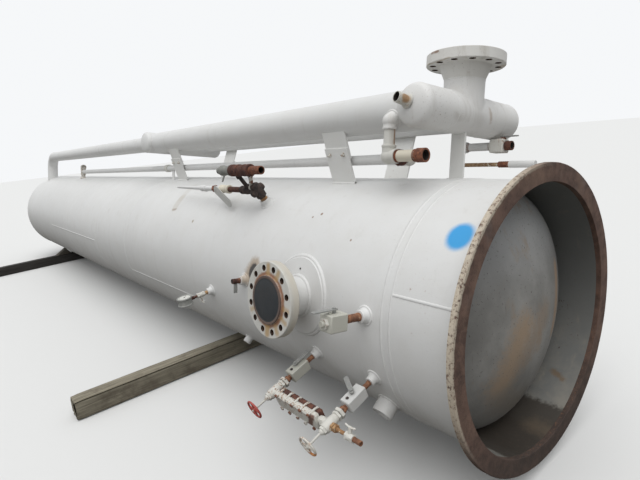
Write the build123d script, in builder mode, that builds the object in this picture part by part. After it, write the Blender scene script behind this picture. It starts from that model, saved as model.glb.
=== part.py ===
# Glycol contactor tower, laid on two timbers. Millimetres, +Z up, floor at Z = 0.
# X runs along the vessel: the domed top head is at -X, the open skirt with its base ring at +X.
# The vessel is rolled a little about its own axis, so its exchanger leans away from the near side.
# Places on the vessel are given in its own frame, by these three numbers:
#   station: distance back from the face of the base ring
#   side: across the vessel, minus on the near side, which carries the inlet nozzle
#   up: square to both, towards the exchanger
# A fitting on the shell is placed by its station and its azimuth: 0 at the exchanger, 90 on the near side.
import os
from math import atan2, cos, degrees, radians, sin, sqrt

from build123d import *

# Vessel
SHELL_RADIUS = 686.0
SHELL_WALL = 48.0
VESSEL_LENGTH = 10103.0
HEAD_DEPTH_RATIO = 0.5
KNUCKLE_RATIO = 0.346
WELD_STATION = 450.0
STRAIGHT_FLANGE = 50.0
SKIRT_WALL = 10.0
RING_REACH = 82.0
RING_THICKNESS = 28.0
ROLL = -10.0

# Timbers
TIMBER_WIDTH = 150.0
TIMBER_HEIGHT = 150.0
TIMBER_HALF_LENGTH = 1680.0
NEAR_TIMBER_STATION = 2630.0
FAR_TIMBER_INSET = 1045.0
CHOCK_HEIGHT = 105.0
CHOCK_PEAK_GAP = 10.0
CHOCK_TOE_REACH = 165.0
CHOCK_HEEL_REACH = 75.0
CHOCK_WIDTH = 140.0

# Eight inch class 600 weld-neck flange
PIPE_8_RADIUS = 109.5
PIPE_8_WALL = 12.7
FLANGE_RADIUS = 209.5
FLANGE_THICKNESS = 55.6
FLANGE_CHAMFER = 3.0
RAISED_FACE_RADIUS = 135.0
RAISED_FACE_HEIGHT = 6.4
HUB_RADIUS = 136.5
HUB_LENGTH = 77.8
BOLT_CIRCLE_RADIUS = 174.6
BOLT_HOLE_RADIUS = 15.9
BOLT_COUNT = 12

# Inlet nozzle on the near side
NOZZLE_STATION = 1076.0
NOZZLE_AZIMUTH = 90.0
NOZZLE_REACH = 215.0
PAD_RADIUS = 219.0
PAD_THICKNESS = 16.0
COVER_RADIUS = 132.0
COVER_THICKNESS = 8.0
COVER_FILLET = 3.0

# Exchanger above the vessel
OUTLET_STATION = 545.0
RETURN_STATION = 4200.0
EXCHANGER_RISE = 351.0
EXCHANGER_SIDE = 285.0
HEADER_HALF_LENGTH = 400.0
TEE_REACH = 178.0
PIPE_6_RADIUS = 84.1
PIPE_6_WALL = 11.0
PIPE_4_RADIUS = 57.2
PIPE_4_WALL = 8.6
GAS_LEG_INSET = 260.0
GAS_ELBOW_RADIUS = 229.0

# Posts that carry the exchanger
NEAR_POST_STATION = 1225.0
FAR_POST_STATION = 3640.0
POST_WIDTH = 205.0
POST_THICKNESS = 12.7
POST_FOOT_SIDE = 222.0
POST_SEAT_LEAN = 33.0
POST_SPLICE = 229.0
POST_LAP = 70.0
POST_BITE = 30.0
HEADER_POST_WIDTH = 90.0
HEADER_POST_SIDE = -20.0

# Glycol line, two inch
LINE_RADIUS = 30.2
LINE_WALL = 5.5
LINE_SIDE = 232.0
LINE_RISE_NEAR = 101.0
LINE_RISE_FAR = 62.0
LINE_COUPLING_STATION = 4000.0
LINE_COUPLING_LENGTH = 70.0
LINE_SUPPORT_STATION = 3900.0
LINE_SUPPORT_WIDTH = 50.0
LINE_SUPPORT_THICKNESS = 10.0
DROP_STATION = 710.0
DROP_SIDE = 402.0
DROP_ELBOW_FALL = 65.0
DROP_ELBOW_REACH = 45.0
DROP_TEE_REACH = 60.0
ELBOW_SWELL = 2.0
RISER_STATION = 7500.0
TEE_2_REACH = 45.0
TEE_2_WALL = 9.0
WELDOLET_RADIUS = 56.0
UNION_LENGTH = 40.0
UNION_RADIUS = 44.0
DRAIN_NIPPLE_LENGTH = 115.0
DRAIN_COUPLING_LENGTH = 80.0
DRAIN_COUPLING_RADIUS = 36.0
DRAIN_COUPLING_WALL = 10.0
RISER_MOUTH_RISE = 75.0
RISER_MOUTH_DEPTH = 30.0

# Open coupling in the near cap of the outlet header
HEADER_COUPLING_SIDE = 395.0
HEADER_COUPLING_AIM = (-0.2, -0.95, 0.2)
HEADER_COUPLING_RADIUS = 28.0
HEADER_COUPLING_WALL = 8.0
HEADER_COUPLING_RISE = 22.0

# Where the fittings stand on the shell
GAUGE_UPPER_STATION = 1000.0
GAUGE_LOWER_STATION = 551.0
GAUGE_AZIMUTH = 118.5
SIDE_VALVE_STATION = 556.0
SIDE_VALVE_AZIMUTH = 90.0
RELIEF_STATION = 1735.0
RELIEF_AZIMUTH = 44.0
PRESSURE_STATION = 2178.0
PRESSURE_AZIMUTH = 105.0
VENT_STATION = 1672.0
VENT_AZIMUTH = 91.0
UNDER_SMALL_STATION = 2002.0
UNDER_SMALL_AZIMUTH = 141.0
UNDER_LARGE_STATION = 556.0
UNDER_LARGE_AZIMUTH = 136.0

# Bosses and the nipples that screw into them
NIPPLE_RADIUS = 13.4
SIDE_NIPPLE_RADIUS = 20.0
RELIEF_NIPPLE_RADIUS = 24.0
VENT_NIPPLE_RADIUS = 16.7
VENT_NIPPLE_WALL = 4.0
VENT_NIPPLE_LENGTH = 84.0
BOSS_HEIGHT = 40.0
BOSS_WALL = 13.0
BOSS_FLARE = 12.0
BOSS_BITE = 12.0
SMALL_STUB_RADIUS = 30.0
SMALL_STUB_HEIGHT = 45.0
LARGE_STUB_RADIUS = 57.0
LARGE_STUB_HEIGHT = 75.0
LARGE_STUB_WALL = 13.0
LARGE_STUB_DEPTH = 15.0
FITTING_GAP = 0.3

# Level gauge, heights above the shell
GAUGE_BLOCK_START = 92.0
GAUGE_BLOCK_END = 215.0
GAUGE_BLOCK_WIDTH = 64.0
GAUGE_UNION_START = 248.0
GAUGE_UNION_FLATS = 54.0
GAUGE_COCK_START = 285.0
GAUGE_COCK_END = 368.0
GAUGE_COCK_RADIUS = 27.0
GAUGE_BONNET_FLATS = 40.0
GAUGE_BONNET_HEIGHT = 26.0
GAUGE_PORT_RADIUS = 20.0
GAUGE_STEM_RADIUS = 7.0
GAUGE_WHEEL_AT = 470.0
GAUGE_WHEEL_RADIUS = 55.0
GAUGE_WHEEL_RIM = 11.0
GAUGE_WHEEL_SPOKES = 4
GAUGE_BODY_AT = 335.0
GAUGE_BODY_LENGTH = 330.0
GAUGE_BODY_WIDTH = 66.0
GAUGE_BODY_HEIGHT = 86.0
GAUGE_BODY_FILLET = 10.0
GAUGE_DRAIN_HEX = 38.0
GAUGE_DRAIN_HEX_LENGTH = 30.0
GAUGE_DRAIN_NIPPLE_RADIUS = 9.0
GAUGE_DRAIN_NIPPLE_LENGTH = 62.0
GAUGE_DRAIN_VALVE_LENGTH = 46.0
GAUGE_DRAIN_OUTLET_RADIUS = 12.0
GAUGE_DRAIN_OUTLET_LENGTH = 50.0
GAUGE_WING_RISE = 44.0
GAUGE_WING_LENGTH = 70.0
GAUGE_WING_WIDTH = 14.0
GAUGE_WING_THICKNESS = 8.0

# Side valve, heights above the shell
SIDE_BLOCK_START = 148.0
SIDE_BLOCK_END = 252.0
SIDE_BLOCK_WIDTH = 84.0
SIDE_PLUG_FLATS = 46.0
SIDE_PLUG_HEIGHT = 26.0

# Levers: a stem and a flat grip with round ends
LEVER_WIDTH = 26.0
LEVER_THICKNESS = 6.0
LEVER_STEM_RADIUS = 9.0
LEVER_STEM_RISE = 14.0
GAUGE_LEVER_LENGTH = 130.0
SIDE_LEVER_LENGTH = 150.0
LEVER_TAIL = 18.0
GAUGE_UPPER_LEVER_TURN = 180.0
GAUGE_LOWER_LEVER_TURN = 240.0
BYPASS_LEVER_LENGTH = 110.0

# Pressure gauge, heights above the shell
NEEDLE_BODY_START = 62.0
NEEDLE_BODY_END = 124.0
NEEDLE_BODY_FLATS = 34.0
NEEDLE_SPIGOT_RADIUS = 9.0
NEEDLE_STEM_RADIUS = 6.0
NEEDLE_STEM_LENGTH = 34.0
NEEDLE_BAR_LENGTH = 62.0
NEEDLE_BAR_WIDTH = 10.0
PRESSURE_CASE_AT = 165.0
PRESSURE_CASE_RADIUS = 50.0
PRESSURE_CASE_DEPTH = 60.0
PRESSURE_RIM_WIDTH = 5.0
PRESSURE_RIM_DEPTH = 10.0

# Relief assembly, heights above the shell and lengths along the vessel
RELIEF_BODY_START = 62.0
RELIEF_BODY_END = 176.0
RELIEF_BODY_RADIUS = 38.0
RELIEF_HEX_FLATS = 92.0
RELIEF_HEX_HEIGHT = 26.0
RELIEF_BRANCH_AT = 118.0
RELIEF_PORT_RADIUS = 30.0
RELIEF_PORT_REACH = 200.0
RELIEF_FORK_AT = 100.0
RELIEF_LEG_RADIUS = 15.0
RELIEF_LEG_REACH = 95.0
RELIEF_LEG_SPREAD = 25.0
RELIEF_VALVE_AT = 297.0
RELIEF_VALVE_RADIUS = 41.0
RELIEF_VALVE_FRONT = 110.0
RELIEF_VALVE_BACK = 130.0
RELIEF_MOUTH_RADIUS = 27.0
RELIEF_MOUTH_WALL = 7.0
RELIEF_MOUTH_LENGTH = 120.0
RELIEF_BONNET_RADIUS = 36.0
RELIEF_BONNET_LENGTH = 140.0
RELIEF_CAP_RADIUS = 28.0
RELIEF_CAP_LENGTH = 50.0
BRANCH_PIPE_RADIUS = 20.0
BRANCH_NIPPLE_LENGTH = 180.0
BRANCH_COUPLING_RADIUS = 32.0
BRANCH_COUPLING_LENGTH = 120.0
BRANCH_RUN_LENGTH = 245.0
BRANCH_JOINT_RADIUS = 27.0
BRANCH_JOINT_LENGTH = 85.0
BRANCH_ROD_RADIUS = 16.0
BRANCH_ROD_TIP_RADIUS = 11.0
BRANCH_ROD_LENGTH = 460.0

# Bypass drop on the far side
BYPASS_STATION = 735.0
BYPASS_DROP = 151.0
BYPASS_PIPE_RADIUS = 24.0
BYPASS_TEE_RADIUS = 33.0
BYPASS_TEE_REACH = 34.0
BYPASS_VALVE_REACH = 215.0
BYPASS_VALVE_WIDTH = 78.0
BYPASS_VALVE_LENGTH = 84.0
BYPASS_SPOUT_RADIUS = 27.0
BYPASS_SPOUT_LENGTH = 40.0
BYPASS_STEM_RISE = 12.0
BYPASS_LEG_RADIUS = 17.0
BYPASS_LEG_LENGTH = 106.0
BYPASS_JOINT_RADIUS = 22.0
BYPASS_TUBE_RADIUS = 12.0
BYPASS_TUBE_LENGTH = 265.0
BYPASS_END_RADIUS = 20.0
BYPASS_END_LENGTH = 220.0
BLOCK_CHAMFER = 4.0

AXIS_HEIGHT = SHELL_RADIUS + TIMBER_HEIGHT
RING_FACE_X = VESSEL_LENGTH / 2
HEAD_DEPTH = SHELL_RADIUS * HEAD_DEPTH_RATIO
TOP_TANGENT = VESSEL_LENGTH - HEAD_DEPTH
BOTTOM_TANGENT = WELD_STATION - STRAIGHT_FLANGE
SKIRT_INNER_RADIUS = SHELL_RADIUS - SKIRT_WALL
RING_RADIUS = SHELL_RADIUS + RING_REACH
BORE_RADIUS = PIPE_8_RADIUS - PIPE_8_WALL
NOZZLE_STANDOFF = SHELL_RADIUS + NOZZLE_REACH
NOZZLE_BACK = NOZZLE_STANDOFF - FLANGE_THICKNESS
EXCHANGER_UP = SHELL_RADIUS + EXCHANGER_RISE
OUTLET_WELD_UP = EXCHANGER_UP + TEE_REACH
LINE_UP_NEAR = SHELL_RADIUS + LINE_RISE_NEAR
LINE_UP_FAR = SHELL_RADIUS + LINE_RISE_FAR
BYPASS_UP = EXCHANGER_UP - BYPASS_DROP
FITTING_RADIUS = LINE_RADIUS + TEE_2_WALL
GAS_LEG_STATION = TOP_TANGENT - GAS_LEG_INSET
FAR_TIMBER_STATION = TOP_TANGENT - FAR_TIMBER_INSET
CHOCK_PEAK = sqrt(SHELL_RADIUS ** 2 - (SHELL_RADIUS - CHOCK_HEIGHT) ** 2) + CHOCK_PEAK_GAP
POST_STATIONS = (NEAR_POST_STATION, FAR_POST_STATION)
QUARTER_TURN = 90.0

# Places on the shell: station and azimuth
NOZZLE = (NOZZLE_STATION, NOZZLE_AZIMUTH)
GAUGE_UPPER = (GAUGE_UPPER_STATION, GAUGE_AZIMUTH)
GAUGE_LOWER = (GAUGE_LOWER_STATION, GAUGE_AZIMUTH)
GAUGE_ARMS = (GAUGE_UPPER, GAUGE_LOWER)
SIDE_VALVE = (SIDE_VALVE_STATION, SIDE_VALVE_AZIMUTH)
RELIEF = (RELIEF_STATION, RELIEF_AZIMUTH)
PRESSURE = (PRESSURE_STATION, PRESSURE_AZIMUTH)
VENT = (VENT_STATION, VENT_AZIMUTH)
UNDER_SMALL = (UNDER_SMALL_STATION, UNDER_SMALL_AZIMUTH)
UNDER_LARGE = (UNDER_LARGE_STATION, UNDER_LARGE_AZIMUTH)

ALONG = (1, 0, 0)
BACK = (-1, 0, 0)
NEAR = (0, -1, 0)
FAR = (0, 1, 0)
UP = (0, 0, 1)
DOWN = (0, 0, -1)

os.makedirs("parts", exist_ok=True)


def turned(direction):
    """A direction of the vessel's own frame, turned with its roll."""
    return Vector(*direction).rotate(Axis.X, ROLL)


def spot(station, side, up):
    """A place in the vessel's own frame as a point of the model."""
    across = turned((0, side, up))
    return Vector(RING_FACE_X - station, across.Y, AXIS_HEIGHT + across.Z)


def face_at(station, side, up, normal, x_dir=ALONG):
    """A plane at a place in the vessel's own frame."""
    return Plane(origin=spot(station, side, up), x_dir=turned(x_dir), z_dir=turned(normal))


def outward(azimuth):
    """The outward direction at an azimuth."""
    return (0, -sin(radians(azimuth)), cos(radians(azimuth)))


def stand_at(place, height, normal=None):
    """A plane on a fitting's radius at a height above the shell, square to the radius or as told."""
    station, azimuth = place
    _, side, up = outward(azimuth)
    radius = SHELL_RADIUS + height
    if normal is None:
        return face_at(station, side * radius, up * radius, outward(azimuth))
    return face_at(station, side * radius, up * radius, normal, outward(azimuth))


def rod(plane, radius, length, mode=Mode.ADD):
    """Add or cut a round bar that starts on a plane."""
    with BuildSketch(plane) as section:
        Circle(radius)
    extrude(section.sketch, amount=length, mode=mode)


def tube(plane, radius, wall, length):
    """Add a round tube that starts on a plane."""
    with BuildSketch(plane) as section:
        Circle(radius)
        Circle(radius - wall, mode=Mode.SUBTRACT)
    extrude(section.sketch, amount=length)


def taper(plane, start_radius, end_radius, length):
    """Add a round bar that changes evenly from one radius to another."""
    with BuildSketch(plane) as start:
        Circle(start_radius)
    with BuildSketch(plane.offset(length)) as end:
        Circle(end_radius)
    loft([start.sketch.faces()[0], end.sketch.faces()[0]])


def hexagon(plane, flats, length):
    """Add a hexagonal bar, given the size across its flats."""
    with BuildSketch(plane) as section:
        RegularPolygon(flats / 2, 6, major_radius=False)
    extrude(section.sketch, amount=length)


def block(plane, width, height, length):
    """Add a rectangular bar that starts on a plane."""
    with BuildSketch(plane) as section:
        Rectangle(width, height)
    extrude(section.sketch, amount=length)


def chamfered_block(plane, width, length):
    """Add a square bar whose two ends are chamfered round their edges."""
    with BuildSketch(plane) as start:
        Rectangle(width - 2 * BLOCK_CHAMFER, width - 2 * BLOCK_CHAMFER)
    with BuildSketch(plane.offset(BLOCK_CHAMFER)) as middle:
        Rectangle(width, width)
    with BuildSketch(plane.offset(length)) as end:
        Rectangle(width - 2 * BLOCK_CHAMFER, width - 2 * BLOCK_CHAMFER)
    loft([start.sketch.faces()[0], middle.sketch.faces()[0]])
    extrude(middle.sketch, amount=length - 2 * BLOCK_CHAMFER)
    with BuildSketch(plane.offset(length - BLOCK_CHAMFER)) as shoulder:
        Rectangle(width, width)
    loft([shoulder.sketch.faces()[0], end.sketch.faces()[0]])


def lever(plane, length, turn, rise=LEVER_STEM_RISE):
    """Add a stem on a plane and a flat grip on it, turned about the stem."""
    rod(plane, LEVER_STEM_RADIUS, rise)
    with BuildSketch(plane.offset(rise)) as grip:
        with Locations(Rotation(0, 0, turn)):
            with Locations((length / 2 - LEVER_TAIL, 0)):
                SlotOverall(length, LEVER_WIDTH)
    extrude(grip.sketch, amount=LEVER_THICKNESS)


def cut_to_shell():
    """Cut what is open back to the skin of the shell."""
    rod(face_at(WELD_STATION, 0, 0, BACK, UP), SHELL_RADIUS, VESSEL_LENGTH, Mode.SUBTRACT)


def hand_over(piece, name):
    """Label a finished piece and write it."""
    piece.part.label = name
    export_step(piece.part, f"parts/{name}.step")


# Shell: a plain thick tube between the two head welds
with BuildPart() as shell:
    tube(face_at(WELD_STATION, 0, 0, BACK, UP), SHELL_RADIUS, SHELL_WALL, TOP_TANGENT - WELD_STATION)
    rod(stand_at(NOZZLE, -SHELL_RADIUS), BORE_RADIUS, 2 * SHELL_RADIUS, Mode.SUBTRACT)
hand_over(shell, "shell")


def crown_arcs(radius, depth, inset, centre=(0, 0)):
    """Draw a dished profile in two tangent arcs: knuckle then crown, inset by a wall from the outside."""
    knuckle = radius * KNUCKLE_RATIO
    reach = radius - knuckle
    crown = (reach ** 2 + depth ** 2 - knuckle ** 2) / (2 * (depth - knuckle))
    split = degrees(atan2(crown - depth, reach))
    x, y = centre
    CenterArc((x + reach, y), knuckle - inset, 0, split)
    CenterArc((x, y + depth - crown), crown - inset, split, 90 - split)


def crown_plane(tangent, side):
    """A plane through the axis whose X is up and whose Y looks out of a head."""
    return Plane(origin=spot(tangent, 0, 0), x_dir=turned(UP), z_dir=turned(side))


def vessel_axis():
    """The axis of the vessel."""
    return Axis(spot(0, 0, 0), turned(ALONG))


def domed_head(tangent, side, flange):
    """Add a two to one dished head with its straight flange, as a thick shell."""
    inner_radius = SHELL_RADIUS - SHELL_WALL
    with BuildSketch(crown_plane(tangent, side)) as section:
        with BuildLine():
            crown_arcs(SHELL_RADIUS, HEAD_DEPTH, 0)
            crown_arcs(SHELL_RADIUS, HEAD_DEPTH, SHELL_WALL)
            Line((0, HEAD_DEPTH), (0, HEAD_DEPTH - SHELL_WALL))
            Line((SHELL_RADIUS, 0), (inner_radius, 0))
        make_face()
    revolve(section.sketch, axis=vessel_axis())
    if flange:
        rim = crown_plane(tangent, side)
        back = Plane(origin=rim.origin, x_dir=rim.x_dir, z_dir=-rim.y_dir)
        tube(back, SHELL_RADIUS, SHELL_WALL, flange)


# Heads: the lower one has a straight flange inside the skirt
with BuildPart() as top_head:
    domed_head(TOP_TANGENT, NEAR, 0)
hand_over(top_head, "top_head")

with BuildPart() as bottom_head:
    domed_head(BOTTOM_TANGENT, FAR, STRAIGHT_FLANGE)
hand_over(bottom_head, "bottom_head")

# Skirt: a thin tube, its upper end bevelled to seat on the knuckle of the lower head
with BuildPart() as skirt:
    tube(face_at(RING_THICKNESS, 0, 0, BACK, UP), SHELL_RADIUS, SKIRT_WALL, BOTTOM_TANGENT - RING_THICKNESS)
    with BuildSketch(crown_plane(BOTTOM_TANGENT, FAR)) as head_space:
        with BuildLine():
            crown_arcs(SHELL_RADIUS, HEAD_DEPTH, 0)
            Line((0, HEAD_DEPTH), (0, 0))
            Line((0, 0), (SHELL_RADIUS, 0))
        make_face()
    revolve(head_space.sketch, axis=vessel_axis(), mode=Mode.SUBTRACT)
hand_over(skirt, "skirt")

# Base ring: a flat annular plate on the end of the skirt
with BuildPart() as base_ring:
    tube(face_at(0, 0, 0, BACK, UP), RING_RADIUS, RING_RADIUS - SKIRT_INNER_RADIUS, RING_THICKNESS)
hand_over(base_ring, "base_ring")


def weld_neck_flange(plane):
    """Add a weld-neck flange whose back face lies on a plane, with its hub behind it and its bolt holes."""
    section_plane = Plane(origin=plane.origin, x_dir=plane.x_dir, z_dir=-plane.y_dir)
    face = FLANGE_THICKNESS
    with BuildSketch(section_plane) as section:
        with BuildLine():
            Polyline(
                (BORE_RADIUS, -HUB_LENGTH),
                (PIPE_8_RADIUS, -HUB_LENGTH),
                (HUB_RADIUS, 0),
                (FLANGE_RADIUS, 0),
                (FLANGE_RADIUS, face - FLANGE_CHAMFER),
                (FLANGE_RADIUS - FLANGE_CHAMFER, face),
                (RAISED_FACE_RADIUS, face),
                (RAISED_FACE_RADIUS, face + RAISED_FACE_HEIGHT),
                (BORE_RADIUS, face + RAISED_FACE_HEIGHT),
                close=True,
            )
        make_face()
    revolve(section.sketch, axis=Axis(plane.origin, plane.z_dir))
    with BuildSketch(plane) as holes:
        with PolarLocations(BOLT_CIRCLE_RADIUS, BOLT_COUNT, start_angle=180 / BOLT_COUNT):
            Circle(BOLT_HOLE_RADIUS)
    extrude(holes.sketch, amount=FLANGE_THICKNESS, mode=Mode.SUBTRACT)


# Inlet nozzle: flange, hub and neck, the neck cut to the curve of the shell
with BuildPart() as inlet_nozzle:
    weld_neck_flange(stand_at(NOZZLE, NOZZLE_BACK - SHELL_RADIUS))
    neck_length = NOZZLE_BACK - HUB_LENGTH - SHELL_RADIUS + PIPE_8_RADIUS
    tube(stand_at(NOZZLE, -PIPE_8_RADIUS), PIPE_8_RADIUS, PIPE_8_WALL, neck_length)
    cut_to_shell()
hand_over(inlet_nozzle, "inlet_nozzle")

# Reinforcing pad: a disc bent to the shell round the nozzle neck
with BuildPart() as nozzle_pad:
    rod(stand_at(NOZZLE, -SHELL_RADIUS / 2), PAD_RADIUS, SHELL_RADIUS)
    with BuildSketch(face_at(WELD_STATION, 0, 0, BACK, UP)) as sleeve:
        Circle(SHELL_RADIUS + PAD_THICKNESS)
        Circle(SHELL_RADIUS, mode=Mode.SUBTRACT)
    extrude(sleeve.sketch, amount=NOZZLE_STATION, mode=Mode.INTERSECT)
    rod(stand_at(NOZZLE, -SHELL_RADIUS), PIPE_8_RADIUS, 2 * SHELL_RADIUS, Mode.SUBTRACT)
hand_over(nozzle_pad, "nozzle_pad")

# Dust cover: a thin disc taped on the raised face
with BuildPart() as nozzle_cover:
    face = stand_at(NOZZLE, NOZZLE_STANDOFF + RAISED_FACE_HEIGHT - SHELL_RADIUS)
    rod(face, COVER_RADIUS, COVER_THICKNESS)
    rims = nozzle_cover.edges().filter_by(GeomType.CIRCLE)
    fillet(rims.sort_by(Axis(face.origin, face.z_dir))[-1], COVER_FILLET)
hand_over(nozzle_cover, "nozzle_cover")


def capped_run(station, inset, mode=Mode.ADD):
    """Add or cut a header run across the vessel with a dished cap at each end, inset by a wall."""
    radius = PIPE_8_RADIUS - inset
    cap_depth = PIPE_8_RADIUS * HEAD_DEPTH_RATIO
    middle = spot(station, 0, EXCHANGER_UP)
    for side in (FAR, NEAR):
        axis_out = turned(side)
        half_plane = Plane(origin=middle, x_dir=turned(DOWN), z_dir=turned(DOWN).cross(axis_out))
        with BuildSketch(half_plane) as section:
            with BuildLine():
                crown_arcs(PIPE_8_RADIUS, cap_depth, inset, (0, HEADER_HALF_LENGTH))
                Polyline(
                    (radius, HEADER_HALF_LENGTH),
                    (radius, 0),
                    (0, 0),
                    (0, HEADER_HALF_LENGTH + cap_depth - inset),
                )
            make_face()
        revolve(section.sketch, axis=Axis(middle, axis_out), mode=mode)


# Outlet header: a capped run whose middle tee turns up to the outlet flange
with BuildPart() as outlet_header:
    capped_run(OUTLET_STATION, 0)
    rod(face_at(OUTLET_STATION, 0, EXCHANGER_UP, UP), PIPE_8_RADIUS, TEE_REACH)
    capped_run(OUTLET_STATION, PIPE_8_WALL, Mode.SUBTRACT)
    rod(face_at(OUTLET_STATION, 0, EXCHANGER_UP, UP), BORE_RADIUS, TEE_REACH, Mode.SUBTRACT)
hand_over(outlet_header, "outlet_header")

with BuildPart() as outlet_flange:
    weld_neck_flange(face_at(OUTLET_STATION, 0, OUTLET_WELD_UP + HUB_LENGTH, UP))
hand_over(outlet_flange, "outlet_flange")

# Return header: the same run at the far end of the exchanger
with BuildPart() as return_header:
    capped_run(RETURN_STATION, 0)
    capped_run(RETURN_STATION, PIPE_8_WALL, Mode.SUBTRACT)
hand_over(return_header, "return_header")


def between_headers(side, radius, wall):
    """Add a pipe from header to header, its ends cut to their curve."""
    tube(face_at(OUTLET_STATION, side, EXCHANGER_UP, BACK, UP), radius, wall, RETURN_STATION - OUTLET_STATION)
    for station in (OUTLET_STATION, RETURN_STATION):
        capped_run(station, 0, Mode.SUBTRACT)


with BuildPart() as exchanger_pipe:
    between_headers(-EXCHANGER_SIDE, PIPE_8_RADIUS - FITTING_GAP, PIPE_8_WALL)
hand_over(exchanger_pipe, "exchanger_pipe")

with BuildPart() as bypass_pipe:
    between_headers(EXCHANGER_SIDE, PIPE_4_RADIUS, PIPE_4_WALL)
hand_over(bypass_pipe, "bypass_pipe")

# Gas line: from the return header back to an elbow, then down to the shell
with BuildPart() as gas_line:
    run_length = GAS_LEG_STATION - GAS_ELBOW_RADIUS - RETURN_STATION
    run_start = face_at(RETURN_STATION, -EXCHANGER_SIDE, EXCHANGER_UP, BACK, UP)
    tube(run_start, PIPE_6_RADIUS, PIPE_6_WALL, run_length)
    bend_station = GAS_LEG_STATION - GAS_ELBOW_RADIUS
    bend_up = EXCHANGER_UP - GAS_ELBOW_RADIUS
    with BuildSketch(face_at(bend_station, -EXCHANGER_SIDE, EXCHANGER_UP, BACK, UP)) as elbow_end:
        Circle(PIPE_6_RADIUS)
        Circle(PIPE_6_RADIUS - PIPE_6_WALL, mode=Mode.SUBTRACT)
    bend_axis = Axis(spot(bend_station, -EXCHANGER_SIDE, bend_up), turned(NEAR))
    revolve(elbow_end.sketch, axis=bend_axis, revolution_arc=QUARTER_TURN)
    tube(face_at(GAS_LEG_STATION, -EXCHANGER_SIDE, bend_up, DOWN), PIPE_6_RADIUS, PIPE_6_WALL, bend_up)
    cut_to_shell()
    capped_run(RETURN_STATION, 0, Mode.SUBTRACT)
hand_over(gas_line, "gas_line")

# Each post stands under one of the exchanger's pipes: the sign of its side and the pipe's radius
POST_PIPES = ((-1, PIPE_8_RADIUS), (1, PIPE_4_RADIUS))


def post_bar(station, sign, radius, start, end, step):
    """Add one flat bar of a post, from one length to another along the post's slope."""
    foot = Vector(0, sign * POST_FOOT_SIDE, sqrt(SHELL_RADIUS ** 2 - POST_FOOT_SIDE ** 2))
    head_side = sign * (EXCHANGER_SIDE + radius * sin(radians(POST_SEAT_LEAN)))
    head = Vector(0, head_side, EXCHANGER_UP - radius * cos(radians(POST_SEAT_LEAN)))
    slope = (head - foot).normalized()
    square_out = Vector(0, sign * slope.Z, -sign * slope.Y)
    origin = foot + slope * start + square_out * step
    plane = face_at(station, origin.Y, origin.Z, (0, slope.Y, slope.Z))
    reach = min(end, (head - foot).length + POST_BITE) - start
    block(plane, POST_WIDTH, POST_THICKNESS, reach)


# Posts: flat bars in two lapped lengths, welded to the shell and to the pipes above
with BuildPart() as post_feet:
    for post_station in POST_STATIONS:
        for sign, pipe_radius in POST_PIPES:
            post_bar(post_station, sign, pipe_radius, -POST_BITE, POST_SPLICE, POST_THICKNESS)
    cut_to_shell()
hand_over(post_feet, "post_feet")

with BuildPart() as post_heads:
    for post_station in POST_STATIONS:
        for sign, pipe_radius in POST_PIPES:
            post_bar(post_station, sign, pipe_radius, POST_SPLICE - POST_LAP, VESSEL_LENGTH, 0)
    for sign, pipe_radius in POST_PIPES:
        pipe_start = face_at(OUTLET_STATION, sign * EXCHANGER_SIDE, EXCHANGER_UP, BACK, UP)
        rod(pipe_start, pipe_radius, RETURN_STATION - OUTLET_STATION, Mode.SUBTRACT)
hand_over(post_heads, "post_heads")

# Header post: one flat bar under the middle of the outlet header
with BuildPart() as header_post:
    block(face_at(OUTLET_STATION, HEADER_POST_SIDE, 0, UP), HEADER_POST_WIDTH, POST_THICKNESS, EXCHANGER_UP)
    cut_to_shell()
    capped_run(OUTLET_STATION, 0, Mode.SUBTRACT)
hand_over(header_post, "header_post")

# The glycol line slopes down from the drop tee to the riser at the domed end
LINE_RUN = Vector(DROP_STATION - RISER_STATION, 0, LINE_UP_FAR - LINE_UP_NEAR)
LINE_SLOPE = (LINE_RUN.X, LINE_RUN.Y, LINE_RUN.Z)


def on_line(station, normal=LINE_SLOPE, x_dir=UP):
    """A plane on the centre of the glycol line at a station, looking down the line or as told."""
    share = (station - DROP_STATION) / (RISER_STATION - DROP_STATION)
    return face_at(station, -LINE_SIDE, LINE_UP_NEAR + (LINE_UP_FAR - LINE_UP_NEAR) * share, normal, x_dir)


with BuildPart() as glycol_line:
    tube(on_line(DROP_STATION).offset(TEE_2_REACH), LINE_RADIUS, LINE_WALL, LINE_RUN.length - 2 * TEE_2_REACH)
hand_over(glycol_line, "glycol_line")

with BuildPart() as line_coupling:
    rod(on_line(LINE_COUPLING_STATION), FITTING_RADIUS, LINE_COUPLING_LENGTH)
    rod(on_line(LINE_COUPLING_STATION), LINE_RADIUS + FITTING_GAP, LINE_COUPLING_LENGTH, Mode.SUBTRACT)
hand_over(line_coupling, "line_coupling")

# Drop: an elbow on the flank of the exchanger pipe, a short pipe, a tee and a union across to the glycol line
DROP_ELBOW_UP = EXCHANGER_UP - DROP_ELBOW_FALL
DROP_PIPE_UP = DROP_ELBOW_UP - DROP_ELBOW_REACH
DROP_LEAN = Vector(0, EXCHANGER_SIDE - DROP_SIDE, -DROP_ELBOW_FALL)

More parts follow.
